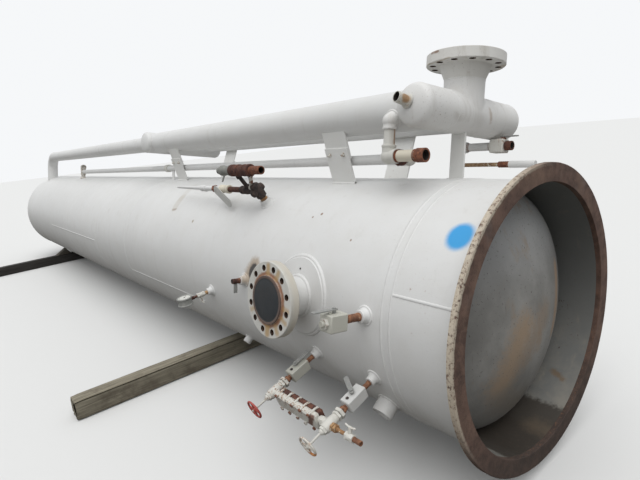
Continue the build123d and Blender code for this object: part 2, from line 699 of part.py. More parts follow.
with BuildPart() as drop_weldolet:
    saddle = face_at(DROP_STATION, -EXCHANGER_SIDE, EXCHANGER_UP, (DROP_LEAN.X, DROP_LEAN.Y, DROP_LEAN.Z))
    taper(saddle, WELDOLET_RADIUS, FITTING_RADIUS, DROP_LEAN.length)
    elbow = face_at(DROP_STATION, -DROP_SIDE, DROP_ELBOW_UP, DOWN)
    with Locations(elbow.origin):
        Sphere(FITTING_RADIUS + ELBOW_SWELL)
    rod(elbow, FITTING_RADIUS, DROP_ELBOW_REACH)
    pipe_start = face_at(OUTLET_STATION, -EXCHANGER_SIDE, EXCHANGER_UP, BACK, UP)
    rod(pipe_start, PIPE_8_RADIUS, RETURN_STATION - OUTLET_STATION, Mode.SUBTRACT)
hand_over(drop_weldolet, "drop_weldolet")

with BuildPart() as drop_union:
    drop_start = face_at(DROP_STATION, -DROP_SIDE, DROP_PIPE_UP, DOWN)
    rod(drop_start, LINE_RADIUS, DROP_PIPE_UP - LINE_UP_NEAR - DROP_TEE_REACH)
    cross_start = face_at(DROP_STATION, DROP_TEE_REACH - DROP_SIDE, LINE_UP_NEAR, FAR, UP)
    cross_length = DROP_SIDE - DROP_TEE_REACH - LINE_SIDE - TEE_2_REACH
    rod(cross_start, LINE_RADIUS, cross_length)
    rod(cross_start.offset((cross_length - UNION_LENGTH) / 2), UNION_RADIUS, UNION_LENGTH)
hand_over(drop_union, "drop_union")

# Drop tee with an outlet to its side, and the elbow in which the glycol line starts
with BuildPart() as drop_tee:
    for outlet, x_dir in ((UP, ALONG), (ALONG, UP), (FAR, UP)):
        rod(face_at(DROP_STATION, -DROP_SIDE, LINE_UP_NEAR, outlet, x_dir), FITTING_RADIUS, DROP_TEE_REACH)
    rod(face_at(DROP_STATION, -LINE_SIDE, LINE_UP_NEAR, NEAR, UP), FITTING_RADIUS, TEE_2_REACH)
    rod(on_line(DROP_STATION), FITTING_RADIUS, TEE_2_REACH)
    for side in (-DROP_SIDE, -LINE_SIDE):
        with Locations(spot(DROP_STATION, side, LINE_UP_NEAR)):
            Sphere(FITTING_RADIUS + ELBOW_SWELL)
hand_over(drop_tee, "drop_tee")

# Drain end: nipple and open coupling on the run of the drop tee
with BuildPart() as drain_end:
    drain_start = face_at(DROP_STATION - DROP_TEE_REACH, -DROP_SIDE, LINE_UP_NEAR, ALONG, UP)
    rod(drain_start, LINE_RADIUS, DRAIN_NIPPLE_LENGTH)
    coupling_start = drain_start.offset(DRAIN_NIPPLE_LENGTH)
    rod(coupling_start, DRAIN_COUPLING_RADIUS, DRAIN_COUPLING_LENGTH)
    mouth_radius = DRAIN_COUPLING_RADIUS - DRAIN_COUPLING_WALL
    mouth_depth = DRAIN_COUPLING_LENGTH / 2
    rod(coupling_start.offset(mouth_depth), mouth_radius, mouth_depth, Mode.SUBTRACT)
hand_over(drain_end, "drain_end")

# Riser at the domed end: pipe from the shell, tee and an open elbow that looks back along the line
with BuildPart() as glycol_riser:
    rod(face_at(RISER_STATION, -LINE_SIDE, 0, UP), LINE_RADIUS, LINE_UP_FAR + RISER_MOUTH_RISE)
    rod(on_line(RISER_STATION, UP, ALONG).offset(-TEE_2_REACH), FITTING_RADIUS, 2 * TEE_2_REACH)
    rod(on_line(RISER_STATION), FITTING_RADIUS, -TEE_2_REACH)
    mouth = face_at(RISER_STATION, -LINE_SIDE, LINE_UP_FAR + RISER_MOUTH_RISE, ALONG, UP)
    mouth_reach = FITTING_RADIUS + TEE_2_REACH
    rod(mouth.offset(TEE_2_REACH - mouth_reach), FITTING_RADIUS, mouth_reach)
    rod(mouth.offset(TEE_2_REACH - RISER_MOUTH_DEPTH), LINE_RADIUS, RISER_MOUTH_DEPTH, Mode.SUBTRACT)
    cut_to_shell()
hand_over(glycol_riser, "glycol_riser")

# Line support: a small leg under the glycol line
with BuildPart() as line_support:
    leg_foot = face_at(LINE_SUPPORT_STATION, -LINE_SIDE, 0, UP)
    block(leg_foot, LINE_SUPPORT_WIDTH, LINE_SUPPORT_THICKNESS, LINE_UP_NEAR)
    cut_to_shell()
    rod(on_line(DROP_STATION), LINE_RADIUS + FITTING_GAP, LINE_RUN.length, Mode.SUBTRACT)
    leg_top = Plane(origin=on_line(LINE_SUPPORT_STATION).origin, z_dir=turned(UP))
    split(bisect_by=leg_top, keep=Keep.BOTTOM)
hand_over(line_support, "line_support")

# Open coupling in the near cap of the outlet header
with BuildPart() as header_coupling:
    shoulder = face_at(OUTLET_STATION, -HEADER_COUPLING_SIDE, EXCHANGER_UP, HEADER_COUPLING_AIM, UP)
    coupling_reach = PIPE_8_RADIUS + HEADER_COUPLING_RISE
    tube(shoulder, HEADER_COUPLING_RADIUS, HEADER_COUPLING_WALL, coupling_reach)
    capped_run(OUTLET_STATION, 0, Mode.SUBTRACT)
hand_over(header_coupling, "header_coupling")

# Each boss: its place and the radius of the nipple that screws into it
BOSSES = (
    (GAUGE_UPPER, NIPPLE_RADIUS),
    (GAUGE_LOWER, NIPPLE_RADIUS),
    (SIDE_VALVE, SIDE_NIPPLE_RADIUS),
    (RELIEF, RELIEF_NIPPLE_RADIUS),
    (PRESSURE, NIPPLE_RADIUS),
    (VENT, VENT_NIPPLE_RADIUS),
)

# Bosses: flared threaded bosses welded on the shell, and two plugged stubs on the underside
with BuildPart() as shell_bosses:
    for place, nipple_radius in BOSSES:
        boss_radius = nipple_radius + BOSS_WALL
        taper(stand_at(place, -BOSS_BITE), boss_radius + BOSS_FLARE, boss_radius, BOSS_BITE + BOSS_HEIGHT)
        rod(stand_at(place, -BOSS_BITE), nipple_radius, BOSS_BITE + BOSS_HEIGHT, Mode.SUBTRACT)
    rod(stand_at(UNDER_SMALL, -BOSS_BITE), SMALL_STUB_RADIUS, BOSS_BITE + SMALL_STUB_HEIGHT)
    rod(stand_at(UNDER_LARGE, -BOSS_BITE), LARGE_STUB_RADIUS, BOSS_BITE + LARGE_STUB_HEIGHT)
    stub_mouth = stand_at(UNDER_LARGE, LARGE_STUB_HEIGHT - LARGE_STUB_DEPTH)
    rod(stub_mouth, LARGE_STUB_RADIUS - LARGE_STUB_WALL, LARGE_STUB_DEPTH, Mode.SUBTRACT)
    cut_to_shell()
hand_over(shell_bosses, "shell_bosses")

# Nipples: plain pipes from the bosses to what they carry, and the open vent pipe
with BuildPart() as shell_nipples:
    for arm in GAUGE_ARMS:
        rod(stand_at(arm, BOSS_BITE), NIPPLE_RADIUS, GAUGE_BLOCK_START - BOSS_BITE)
    rod(stand_at(SIDE_VALVE, BOSS_BITE), SIDE_NIPPLE_RADIUS, SIDE_BLOCK_START - BOSS_BITE)
    rod(stand_at(RELIEF, BOSS_BITE), RELIEF_NIPPLE_RADIUS, RELIEF_BODY_START - BOSS_BITE)
    rod(stand_at(PRESSURE, BOSS_BITE), NIPPLE_RADIUS, NEEDLE_BODY_START - BOSS_BITE)
    tube(stand_at(VENT, BOSS_BITE), VENT_NIPPLE_RADIUS, VENT_NIPPLE_WALL, VENT_NIPPLE_LENGTH)
hand_over(shell_nipples, "shell_nipples")

# Level gauge: on each arm a bar-stock block valve, a nipple with its union nut and a gauge cock
with BuildPart() as gauge_blocks:
    for arm in GAUGE_ARMS:
        block_start = stand_at(arm, GAUGE_BLOCK_START)
        chamfered_block(block_start, GAUGE_BLOCK_WIDTH, GAUGE_BLOCK_END - GAUGE_BLOCK_START)
hand_over(gauge_blocks, "gauge_blocks")

with BuildPart() as gauge_unions:
    for arm in GAUGE_ARMS:
        rod(stand_at(arm, GAUGE_BLOCK_END), NIPPLE_RADIUS, GAUGE_UNION_START - GAUGE_BLOCK_END)
        hexagon(stand_at(arm, GAUGE_UNION_START), GAUGE_UNION_FLATS, GAUGE_COCK_START - GAUGE_UNION_START)
hand_over(gauge_unions, "gauge_unions")

# The gauge body lies between the cocks, which reach to it by their ports
PORT_REACH = (GAUGE_UPPER_STATION - GAUGE_LOWER_STATION - GAUGE_BODY_LENGTH) / 2

with BuildPart() as gauge_cocks:
    for arm, toward in ((GAUGE_UPPER, ALONG), (GAUGE_LOWER, BACK)):
        rod(stand_at(arm, GAUGE_COCK_START), GAUGE_COCK_RADIUS, GAUGE_COCK_END - GAUGE_COCK_START)
        hexagon(stand_at(arm, GAUGE_COCK_END), GAUGE_BONNET_FLATS, GAUGE_BONNET_HEIGHT)
        rod(stand_at(arm, GAUGE_BODY_AT, toward), GAUGE_PORT_RADIUS, PORT_REACH)
hand_over(gauge_cocks, "gauge_cocks")

with BuildPart() as gauge_body:
    body_end = stand_at(GAUGE_UPPER, GAUGE_BODY_AT, ALONG).offset(PORT_REACH)
    block(body_end, GAUGE_BODY_WIDTH, GAUGE_BODY_HEIGHT, GAUGE_BODY_LENGTH)
    fillet(gauge_body.edges().filter_by(Axis.X), GAUGE_BODY_FILLET)
hand_over(gauge_body, "gauge_body")


def handwheel(plane):
    """Add a spoked handwheel whose hub starts on a plane."""
    with BuildSketch(plane) as wheel:
        Circle(GAUGE_WHEEL_RADIUS)
        Circle(GAUGE_WHEEL_RADIUS - GAUGE_WHEEL_RIM, mode=Mode.SUBTRACT)
        Circle(2 * GAUGE_STEM_RADIUS)
        with PolarLocations(0, GAUGE_WHEEL_SPOKES):
            spoke_reach = GAUGE_WHEEL_RADIUS - GAUGE_WHEEL_RIM / 2
            Rectangle(spoke_reach, GAUGE_STEM_RADIUS, align=(Align.MIN, Align.CENTER))
    extrude(wheel.sketch, amount=GAUGE_WHEEL_RIM)


# Handwheels: each on the stem of its gauge cock
with BuildPart() as gauge_handwheels:
    for arm in GAUGE_ARMS:
        stem_start = GAUGE_COCK_END + GAUGE_BONNET_HEIGHT
        rod(stand_at(arm, stem_start), GAUGE_STEM_RADIUS, GAUGE_WHEEL_AT - stem_start)
        handwheel(stand_at(arm, GAUGE_WHEEL_AT))
hand_over(gauge_handwheels, "gauge_handwheels")

# Gauge drain: hexagon, nipple and small valve with a wing handle, on the run of the lower cock
with BuildPart() as gauge_drain:
    drain_start = stand_at(GAUGE_LOWER, GAUGE_BODY_AT, ALONG).offset(GAUGE_COCK_RADIUS)
    hexagon(drain_start, GAUGE_DRAIN_HEX, GAUGE_DRAIN_HEX_LENGTH)
    nipple_start = drain_start.offset(GAUGE_DRAIN_HEX_LENGTH)
    rod(nipple_start, GAUGE_DRAIN_NIPPLE_RADIUS, GAUGE_DRAIN_NIPPLE_LENGTH)
    valve_start = nipple_start.offset(GAUGE_DRAIN_NIPPLE_LENGTH)
    hexagon(valve_start, GAUGE_DRAIN_HEX, GAUGE_DRAIN_VALVE_LENGTH)
    outlet_start = valve_start.offset(GAUGE_DRAIN_VALVE_LENGTH)
    rod(outlet_start, GAUGE_DRAIN_OUTLET_RADIUS, GAUGE_DRAIN_OUTLET_LENGTH)
    valve_middle = valve_start.offset(GAUGE_DRAIN_VALVE_LENGTH / 2)
    wing_stem = Plane(origin=valve_middle.origin, x_dir=turned(ALONG), z_dir=turned(UP))
    rod(wing_stem, GAUGE_DRAIN_NIPPLE_RADIUS, GAUGE_WING_RISE)
    block(wing_stem.offset(GAUGE_WING_RISE), GAUGE_WING_LENGTH, GAUGE_WING_WIDTH, GAUGE_WING_THICKNESS)
hand_over(gauge_drain, "gauge_drain")

# Side valve: a bar-stock block with a hexagonal plug in its outer end
with BuildPart() as side_valve:
    side_block_start = stand_at(SIDE_VALVE, SIDE_BLOCK_START)
    chamfered_block(side_block_start, SIDE_BLOCK_WIDTH, SIDE_BLOCK_END - SIDE_BLOCK_START)
    hexagon(stand_at(SIDE_VALVE, SIDE_BLOCK_END), SIDE_PLUG_FLATS, SIDE_PLUG_HEIGHT)
hand_over(side_valve, "side_valve")


def bypass_valve_start():
    """The plane on which the bypass valve starts."""
    run = face_at(BYPASS_STATION, EXCHANGER_SIDE, BYPASS_UP, ALONG, UP)
    return run.offset(BYPASS_VALVE_REACH)


def side_of(plane, normal, distance):
    """A plane moved square to another one's run, to the side of the body there."""
    return Plane(origin=plane.origin, x_dir=plane.z_dir, z_dir=turned(normal)).offset(distance)


# Levers: on the two gauge blocks, the side valve and the bypass valve
with BuildPart() as valve_levers:
    gauge_pivot = (GAUGE_BLOCK_START + GAUGE_BLOCK_END) / 2
    above_gauge = outward(GAUGE_AZIMUTH - QUARTER_TURN)
    for arm, turn in ((GAUGE_UPPER, GAUGE_UPPER_LEVER_TURN), (GAUGE_LOWER, GAUGE_LOWER_LEVER_TURN)):
        block_side = side_of(stand_at(arm, gauge_pivot), above_gauge, GAUGE_BLOCK_WIDTH / 2)
        lever(block_side, GAUGE_LEVER_LENGTH, turn)
    side_pivot = stand_at(SIDE_VALVE, (SIDE_BLOCK_START + SIDE_BLOCK_END) / 2)
    above_valve = outward(SIDE_VALVE_AZIMUTH - QUARTER_TURN)
    lever(side_of(side_pivot, above_valve, SIDE_BLOCK_WIDTH / 2), SIDE_LEVER_LENGTH, 0)
    bypass_pivot = bypass_valve_start().offset(BYPASS_VALVE_LENGTH - LEVER_TAIL)
    bypass_top = side_of(bypass_pivot, UP, BYPASS_VALVE_WIDTH / 2)
    lever(bypass_top, BYPASS_LEVER_LENGTH, 0, BYPASS_STEM_RISE)
hand_over(valve_levers, "valve_levers")

# Needle valve: a hexagonal body with a T handle, between its nipple and the pressure gauge
with BuildPart() as needle_valve:
    hexagon(stand_at(PRESSURE, NEEDLE_BODY_START), NEEDLE_BODY_FLATS, NEEDLE_BODY_END - NEEDLE_BODY_START)
    rod(stand_at(PRESSURE, NEEDLE_BODY_END), NEEDLE_SPIGOT_RADIUS, PRESSURE_CASE_AT - NEEDLE_BODY_END)
    needle_middle = stand_at(PRESSURE, (NEEDLE_BODY_START + NEEDLE_BODY_END) / 2)
    stem = side_of(needle_middle, outward(PRESSURE_AZIMUTH + QUARTER_TURN), 0)
    rod(stem, NEEDLE_STEM_RADIUS, NEEDLE_BODY_FLATS / 2 + NEEDLE_STEM_LENGTH)
    bar_start = stem.offset(NEEDLE_BODY_FLATS / 2 + NEEDLE_STEM_LENGTH)
    block(bar_start, NEEDLE_BAR_WIDTH, NEEDLE_BAR_LENGTH, NEEDLE_BAR_WIDTH)
hand_over(needle_valve, "needle_valve")

# Pressure gauge: a drum with a rim at each end, standing on the needle valve's spigot
with BuildPart() as pressure_gauge:
    drum_middle = stand_at(PRESSURE, PRESSURE_CASE_AT + PRESSURE_CASE_RADIUS + PRESSURE_RIM_WIDTH)
    drum = side_of(drum_middle, outward(PRESSURE_AZIMUTH - QUARTER_TURN), -PRESSURE_CASE_DEPTH / 2)
    rim_radius = PRESSURE_CASE_RADIUS + PRESSURE_RIM_WIDTH
    rod(drum, PRESSURE_CASE_RADIUS, PRESSURE_CASE_DEPTH)
    rod(drum, rim_radius, PRESSURE_RIM_DEPTH)
    rod(drum.offset(PRESSURE_CASE_DEPTH - PRESSURE_RIM_DEPTH), rim_radius, PRESSURE_RIM_DEPTH)
    rod(stand_at(PRESSURE, PRESSURE_CASE_AT), NEEDLE_SPIGOT_RADIUS + PRESSURE_RIM_WIDTH, PRESSURE_CASE_RADIUS)
hand_over(pressure_gauge, "pressure_gauge")

# Relief assembly: a tee body whose port carries two legs, the relief valve on them and a long branch
with BuildPart() as relief_body:
    port_run = stand_at(RELIEF, RELIEF_BRANCH_AT, BACK)
    valve_run = stand_at(RELIEF, RELIEF_VALVE_AT, BACK)
    for leg_foot, leg_head in (
        (RELIEF_FORK_AT, RELIEF_FORK_AT),
        (RELIEF_FORK_AT - RELIEF_LEG_SPREAD, -RELIEF_LEG_REACH),
    ):
        foot = port_run.offset(leg_foot).origin
        leg = valve_run.offset(leg_head).origin - foot
        rod(Plane(origin=foot, x_dir=turned(NEAR), z_dir=leg), RELIEF_LEG_RADIUS, leg.length)
    valve_front = valve_run.offset(-RELIEF_VALVE_FRONT)
    rod(valve_front, RELIEF_VALVE_RADIUS, RELIEF_VALVE_FRONT + RELIEF_VALVE_BACK, Mode.SUBTRACT)
    rod(port_run, RELIEF_PORT_RADIUS, RELIEF_PORT_REACH)
    rod(stand_at(RELIEF, RELIEF_BODY_START), RELIEF_BODY_RADIUS, RELIEF_BODY_END - RELIEF_BODY_START)
    hexagon(stand_at(RELIEF, RELIEF_BODY_START), RELIEF_HEX_FLATS, RELIEF_HEX_HEIGHT)
hand_over(relief_body, "relief_body")

with BuildPart() as relief_valve:
    valve_run = stand_at(RELIEF, RELIEF_VALVE_AT, BACK)
    valve_front = valve_run.offset(-RELIEF_VALVE_FRONT)
    rod(valve_front, RELIEF_VALVE_RADIUS, RELIEF_VALVE_FRONT + RELIEF_VALVE_BACK)
    mouth_start = valve_front.offset(-RELIEF_MOUTH_LENGTH)
    tube(mouth_start, RELIEF_MOUTH_RADIUS, RELIEF_MOUTH_WALL, RELIEF_MOUTH_LENGTH)
    bonnet_start = valve_run.offset(RELIEF_VALVE_BACK)
    rod(bonnet_start, RELIEF_BONNET_RADIUS, RELIEF_BONNET_LENGTH)
    rod(bonnet_start.offset(RELIEF_BONNET_LENGTH), RELIEF_CAP_RADIUS, RELIEF_CAP_LENGTH)
hand_over(relief_valve, "relief_valve")

# Branch: nipple, coupling, nipple, joint and a long tapered rod, each starting where the last one ends
with BuildPart() as relief_branch:
    branch = stand_at(RELIEF, RELIEF_BRANCH_AT, BACK).offset(RELIEF_PORT_REACH)
    rod(branch, BRANCH_PIPE_RADIUS, BRANCH_NIPPLE_LENGTH)
    branch = branch.offset(BRANCH_NIPPLE_LENGTH)
    rod(branch, BRANCH_COUPLING_RADIUS, BRANCH_COUPLING_LENGTH)
    branch = branch.offset(BRANCH_COUPLING_LENGTH)
    rod(branch, BRANCH_PIPE_RADIUS, BRANCH_RUN_LENGTH)
    branch = branch.offset(BRANCH_RUN_LENGTH)
    rod(branch, BRANCH_JOINT_RADIUS, BRANCH_JOINT_LENGTH)
    branch = branch.offset(BRANCH_JOINT_LENGTH)
    taper(branch, BRANCH_ROD_RADIUS, BRANCH_ROD_TIP_RADIUS, BRANCH_ROD_LENGTH)
hand_over(relief_branch, "relief_branch")

# Bypass drop: from the far pipe down to a tee and along to its valve, and a thin tube from below the tee
with BuildPart() as bypass_drop:
    drop_foot = face_at(BYPASS_STATION, EXCHANGER_SIDE, BYPASS_UP, UP)
    rod(drop_foot, BYPASS_PIPE_RADIUS, EXCHANGER_UP - BYPASS_UP)
    rod(drop_foot.offset(-BYPASS_TEE_REACH), BYPASS_TEE_RADIUS, 2 * BYPASS_TEE_REACH)
    rod(face_at(BYPASS_STATION, EXCHANGER_SIDE, BYPASS_UP, ALONG, UP), BYPASS_PIPE_RADIUS, BYPASS_VALVE_REACH)
    rod(face_at(BYPASS_STATION, EXCHANGER_SIDE, BYPASS_UP, DOWN), BYPASS_LEG_RADIUS, BYPASS_LEG_LENGTH)
    tube_start = face_at(BYPASS_STATION, EXCHANGER_SIDE, BYPASS_UP - BYPASS_LEG_LENGTH, ALONG, UP)
    with Locations(tube_start.origin):
        Sphere(BYPASS_JOINT_RADIUS)
    rod(tube_start, BYPASS_TUBE_RADIUS, BYPASS_TUBE_LENGTH)
    rod(tube_start.offset(BYPASS_TUBE_LENGTH), BYPASS_END_RADIUS, BYPASS_END_LENGTH)
    pipe_start = face_at(OUTLET_STATION, EXCHANGER_SIDE, EXCHANGER_UP, BACK, UP)
    rod(pipe_start, PIPE_4_RADIUS, RETURN_STATION - OUTLET_STATION, Mode.SUBTRACT)
hand_over(bypass_drop, "bypass_drop")

with BuildPart() as bypass_valve:
    chamfered_block(bypass_valve_start(), BYPASS_VALVE_WIDTH, BYPASS_VALVE_LENGTH)
    rod(bypass_valve_start().offset(BYPASS_VALVE_LENGTH), BYPASS_SPOUT_RADIUS, BYPASS_SPOUT_LENGTH)
hand_over(bypass_valve, "bypass_valve")


def level_plane(station, height, x_dir, z_dir):
    """A plane square to the floor, on the middle line of the timbers."""
    return Plane(origin=(RING_FACE_X - station, 0, height), x_dir=x_dir, z_dir=z_dir)


# Timbers: two square baulks across and under the vessel
with BuildPart() as timbers:
    for station in (NEAR_TIMBER_STATION, FAR_TIMBER_STATION):
        with BuildSketch(level_plane(station, TIMBER_HEIGHT / 2, ALONG, FAR)) as end_grain:
            Rectangle(TIMBER_WIDTH, TIMBER_HEIGHT)
        extrude(end_grain.sketch, amount=TIMBER_HALF_LENGTH, both=True)
hand_over(timbers, "timbers")

# Chocks: wedges on the far timber, hollowed to the shell
with BuildPart() as chocks:
    for sign in (-1, 1):
        with BuildSketch(level_plane(FAR_TIMBER_STATION, TIMBER_HEIGHT, FAR, ALONG)) as wedge:
            with BuildLine():
                Polyline(
                    (sign * (CHOCK_PEAK + CHOCK_TOE_REACH), 0),
                    (sign * CHOCK_PEAK, CHOCK_HEIGHT),
                    (sign * (CHOCK_PEAK - CHOCK_HEEL_REACH), 0),
                    close=True,
                )
            make_face()
        extrude(wedge.sketch, amount=CHOCK_WIDTH / 2, both=True)
    skin = face_at(WELD_STATION, 0, 0, BACK, UP)
    rod(skin, SHELL_RADIUS + FITTING_GAP, VESSEL_LENGTH, Mode.SUBTRACT)
hand_over(chocks, "chocks")
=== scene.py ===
"""Looks of a glycol contactor tower that lies on two timbers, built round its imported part.

Metres, +Z up, floor at Z = 0, +X towards the base ring. The vessel is rolled about its own axis.
Places on it are given in its own frame:
    station: distance back from the face of the base ring
    side: across the vessel, minus on the near side
    up: square to both, towards the exchanger
A fitting on the shell stands at a station and an azimuth: 0 at the exchanger, 90 on the near side.
"""

import logging
from dataclasses import dataclass, field
from enum import Enum
from math import atan2, ceil, cos, degrees, pi, radians, sin, sqrt, tau
from random import Random
from typing import Iterable, Sequence

import bmesh
import bpy
from mathutils import Matrix, Vector


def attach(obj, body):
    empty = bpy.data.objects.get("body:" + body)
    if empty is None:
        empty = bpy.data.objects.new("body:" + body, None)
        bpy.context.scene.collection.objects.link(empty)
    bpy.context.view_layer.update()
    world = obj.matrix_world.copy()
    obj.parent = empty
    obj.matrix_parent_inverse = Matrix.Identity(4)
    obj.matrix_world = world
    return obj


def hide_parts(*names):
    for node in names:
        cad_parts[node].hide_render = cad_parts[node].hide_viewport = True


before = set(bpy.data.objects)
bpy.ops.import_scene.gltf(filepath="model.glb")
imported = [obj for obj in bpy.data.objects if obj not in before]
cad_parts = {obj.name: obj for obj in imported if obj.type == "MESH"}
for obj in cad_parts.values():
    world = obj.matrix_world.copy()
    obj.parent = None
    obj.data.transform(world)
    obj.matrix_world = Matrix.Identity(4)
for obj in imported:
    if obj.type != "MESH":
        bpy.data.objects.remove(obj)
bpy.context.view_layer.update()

LOG = logging.getLogger("contactor")
Colour = tuple[float, float, float]

SHELL = 0.686
WALL = 0.048
LENGTH = 10.103
TIMBER = 0.150
AXIS_HEIGHT = SHELL + TIMBER
FACE_X = LENGTH / 2
ROLL = Matrix.Rotation(radians(-10), 3, "X")
WELD_STATION = 0.450
BOTTOM_TANGENT = 0.400
TOP_TANGENT = LENGTH - SHELL / 2
KNUCKLE_SHARE = 0.346
TINY = 1e-6

ALONG = (1, 0, 0)
BACK = (-1, 0, 0)
NEAR = (0, -1, 0)
FAR = (0, 1, 0)
UP = (0, 0, 1)
DOWN = (0, 0, -1)


def turned(direction: Sequence[float]) -> Vector:
    """A direction of the vessel's own frame, turned with its roll."""
    return ROLL @ Vector(direction)


def spot(station: float, side: float, up: float) -> Vector:
    """A place in the vessel's own frame as a point of the model."""
    across = turned((0, side, up))
    return Vector((FACE_X - station, across.y, AXIS_HEIGHT + across.z))


def outward(azimuth: float) -> Vector:
    """The outward direction at an azimuth in degrees, in the vessel's own frame."""
    return Vector((0, -sin(radians(azimuth)), cos(radians(azimuth))))


def on_shell(station: float, azimuth: float, height: float = 0.0) -> Vector:
    """A point of the shell's skin, or above it by a height."""
    out = outward(azimuth) * (SHELL + height)
    return spot(station, out.y, out.z)


@dataclass(frozen=True)
class Site:
    """A place with axes of its own; what stands on it looks along z."""

    origin: Vector
    x: Vector
    z: Vector

    @property
    def y(self) -> Vector:
        """The third axis."""
        return self.z.cross(self.x)

    def point(self, x: float, y: float, z: float) -> Vector:
        """A point given in the site's axes."""
        return self.origin + self.x * x + self.y * y + self.z * z

    def offset(self, z: float, x: float = 0.0, y: float = 0.0) -> "Site":
        """The same axes moved along themselves."""
        return Site(self.point(x, y, z), self.x, self.z)

    def facing(self, z: Vector, x: Vector) -> "Site":
        """The same place looking another way."""
        return aimed(self.origin, z, x)

    def spun(self, angle: float) -> "Site":
        """The same place turned about z by an angle in degrees."""
        a = radians(angle)
        return Site(self.origin, self.x * cos(a) + self.y * sin(a), self.z)


def aimed(origin: Vector, z: Vector, x: Vector) -> Site:
    """A site that looks along z, its x as near to the given one as it can be."""
    z = z.normalized()
    return Site(origin, (x - z * x.dot(z)).normalized(), z)


ORIGIN = Site(Vector((0, 0, 0)), Vector((1, 0, 0)), Vector((0, 0, 1)))


def face_at(station: float, side: float, up: float, normal: Sequence[float],
            x_dir: Sequence[float] = ALONG) -> Site:
    """A site at a place in the vessel's own frame."""
    return aimed(spot(station, side, up), turned(normal), turned(x_dir))


def stand_at(place: tuple[float, float], height: float,
             normal: Sequence[float] | None = None) -> Site:
    """A site on a fitting's radius at a height above the shell.

    Args:
        place: Station and azimuth of the fitting.
        height: Height above the shell.
        normal: Where the site looks; outwards if left out.

    Returns:
        The site.
    """
    station, azimuth = place
    out = outward(azimuth)
    at = on_shell(station, azimuth, height)
    if normal is None:
        return aimed(at, turned(out), turned(ALONG))
    return aimed(at, turned(normal), turned(out))


@dataclass(frozen=True)
class Barrel:
    """An endless round bar that other pieces are cut to or welded on."""

    origin: Vector
    axis: Vector
    radius: float

    def meet(self, start: Vector, direction: Vector) -> Vector:
        """The last point at which a line crosses the skin.

        Args:
            start: A point of the line.
            direction: The way the line runs.

        Returns:
            The crossing, or the nearest point to the axis where the line passes by.
        """
        offset = start - self.origin
        square = offset - self.axis * offset.dot(self.axis)
        run = direction - self.axis * direction.dot(self.axis)
        a, b, c = run.dot(run), 2 * square.dot(run), square.dot(square) - self.radius ** 2
        root = max(b * b - 4 * a * c, 0.0)
        return start + direction * ((-b + sqrt(root)) / (2 * a))


SHELL_BARREL = Barrel(spot(0, 0, 0), turned(ALONG), SHELL)


# Node trees


class Signal:
    """A socket of a node tree whose arithmetic adds Math nodes."""

    def __init__(self, bench: "Bench", socket: bpy.types.NodeSocket) -> None:
        """Wrap a socket of a bench's tree."""
        self.bench = bench
        self.socket = socket

    def _math(self, operation: str, first: object, second: object) -> "Signal":
        """Add one Math node."""
        node = self.bench.add(self.bench.math, {"operation": operation}, {0: first, 1: second})
        return Signal(self.bench, node.outputs[0])

    def __add__(self, other: object) -> "Signal":
        """Sum."""
        return self._math("ADD", self, other)

    def __sub__(self, other: object) -> "Signal":
        """Difference."""
        return self._math("SUBTRACT", self, other)

    def __rsub__(self, other: object) -> "Signal":
        """Difference with a plain number first."""
        return self._math("SUBTRACT", other, self)

    def __mul__(self, other: object) -> "Signal":
        """Product."""
        return self._math("MULTIPLY", self, other)

    def __truediv__(self, other: object) -> "Signal":
        """Quotient."""
        return self._math("DIVIDE", self, other)

    __radd__ = __add__
    __rmul__ = __mul__

    def most(self, other: object) -> "Signal":
        """The larger of two values."""
        return self._math("MAXIMUM", self, other)

    def least(self, other: object) -> "Signal":
        """The smaller of two values."""
        return self._math("MINIMUM", self, other)

    def step(self, low: float, high: float) -> "Signal":
        """0 below low, 1 above high and smooth between; falls where low is the larger."""
        node = self.bench.add("ShaderNodeMapRange", {"interpolation_type": "SMOOTHSTEP"},
                              {"Value": self, "From Min": low, "From Max": high})
        return Signal(self.bench, node.outputs[0])


class Bench:
    """Adds nodes to one tree."""

    math = "ShaderNodeMath"

    def __init__(self, tree: bpy.types.NodeTree) -> None:
        """Work on a tree."""
        self.tree = tree

    def add(self, kind: str, settings: dict | None = None, inputs: dict | None = None) -> bpy.types.Node:
        """Add a node.

        Args:
            kind: Type of the node.
            settings: Its properties; they are set first.
            inputs: Values or links of its sockets, by identifier, name or index.

        Returns:
            The node.
        """
        node = self.tree.nodes.new(kind)
        for key, value in (settings or {}).items():
            setattr(node, key, value)
        for key, value in (inputs or {}).items():
            socket = self._socket(node, key)
            if isinstance(value, Signal):
                self.tree.links.new(value.socket, socket)
            elif isinstance(value, bpy.types.NodeSocket):
                self.tree.links.new(value, socket)
            else:
                socket.default_value = value
        return node

    @staticmethod
    def _socket(node: bpy.types.Node, key: object) -> bpy.types.NodeSocket:
        """Find an input by index, identifier or name."""
        if isinstance(key, int):
            return node.inputs[key]
        return next((s for s in node.inputs if s.identifier == key), None) or node.inputs[key]

    def out(self, kind: str, settings: dict | None = None, inputs: dict | None = None,
            socket: object = 0) -> Signal:
        """Add a node and wrap one of its outputs."""
        node = self.add(kind, settings, inputs)
        if isinstance(socket, int):
            return Signal(self, node.outputs[socket])
        found = next((s for s in node.outputs if s.identifier == socket), None)
        return Signal(self, found or node.outputs[socket])


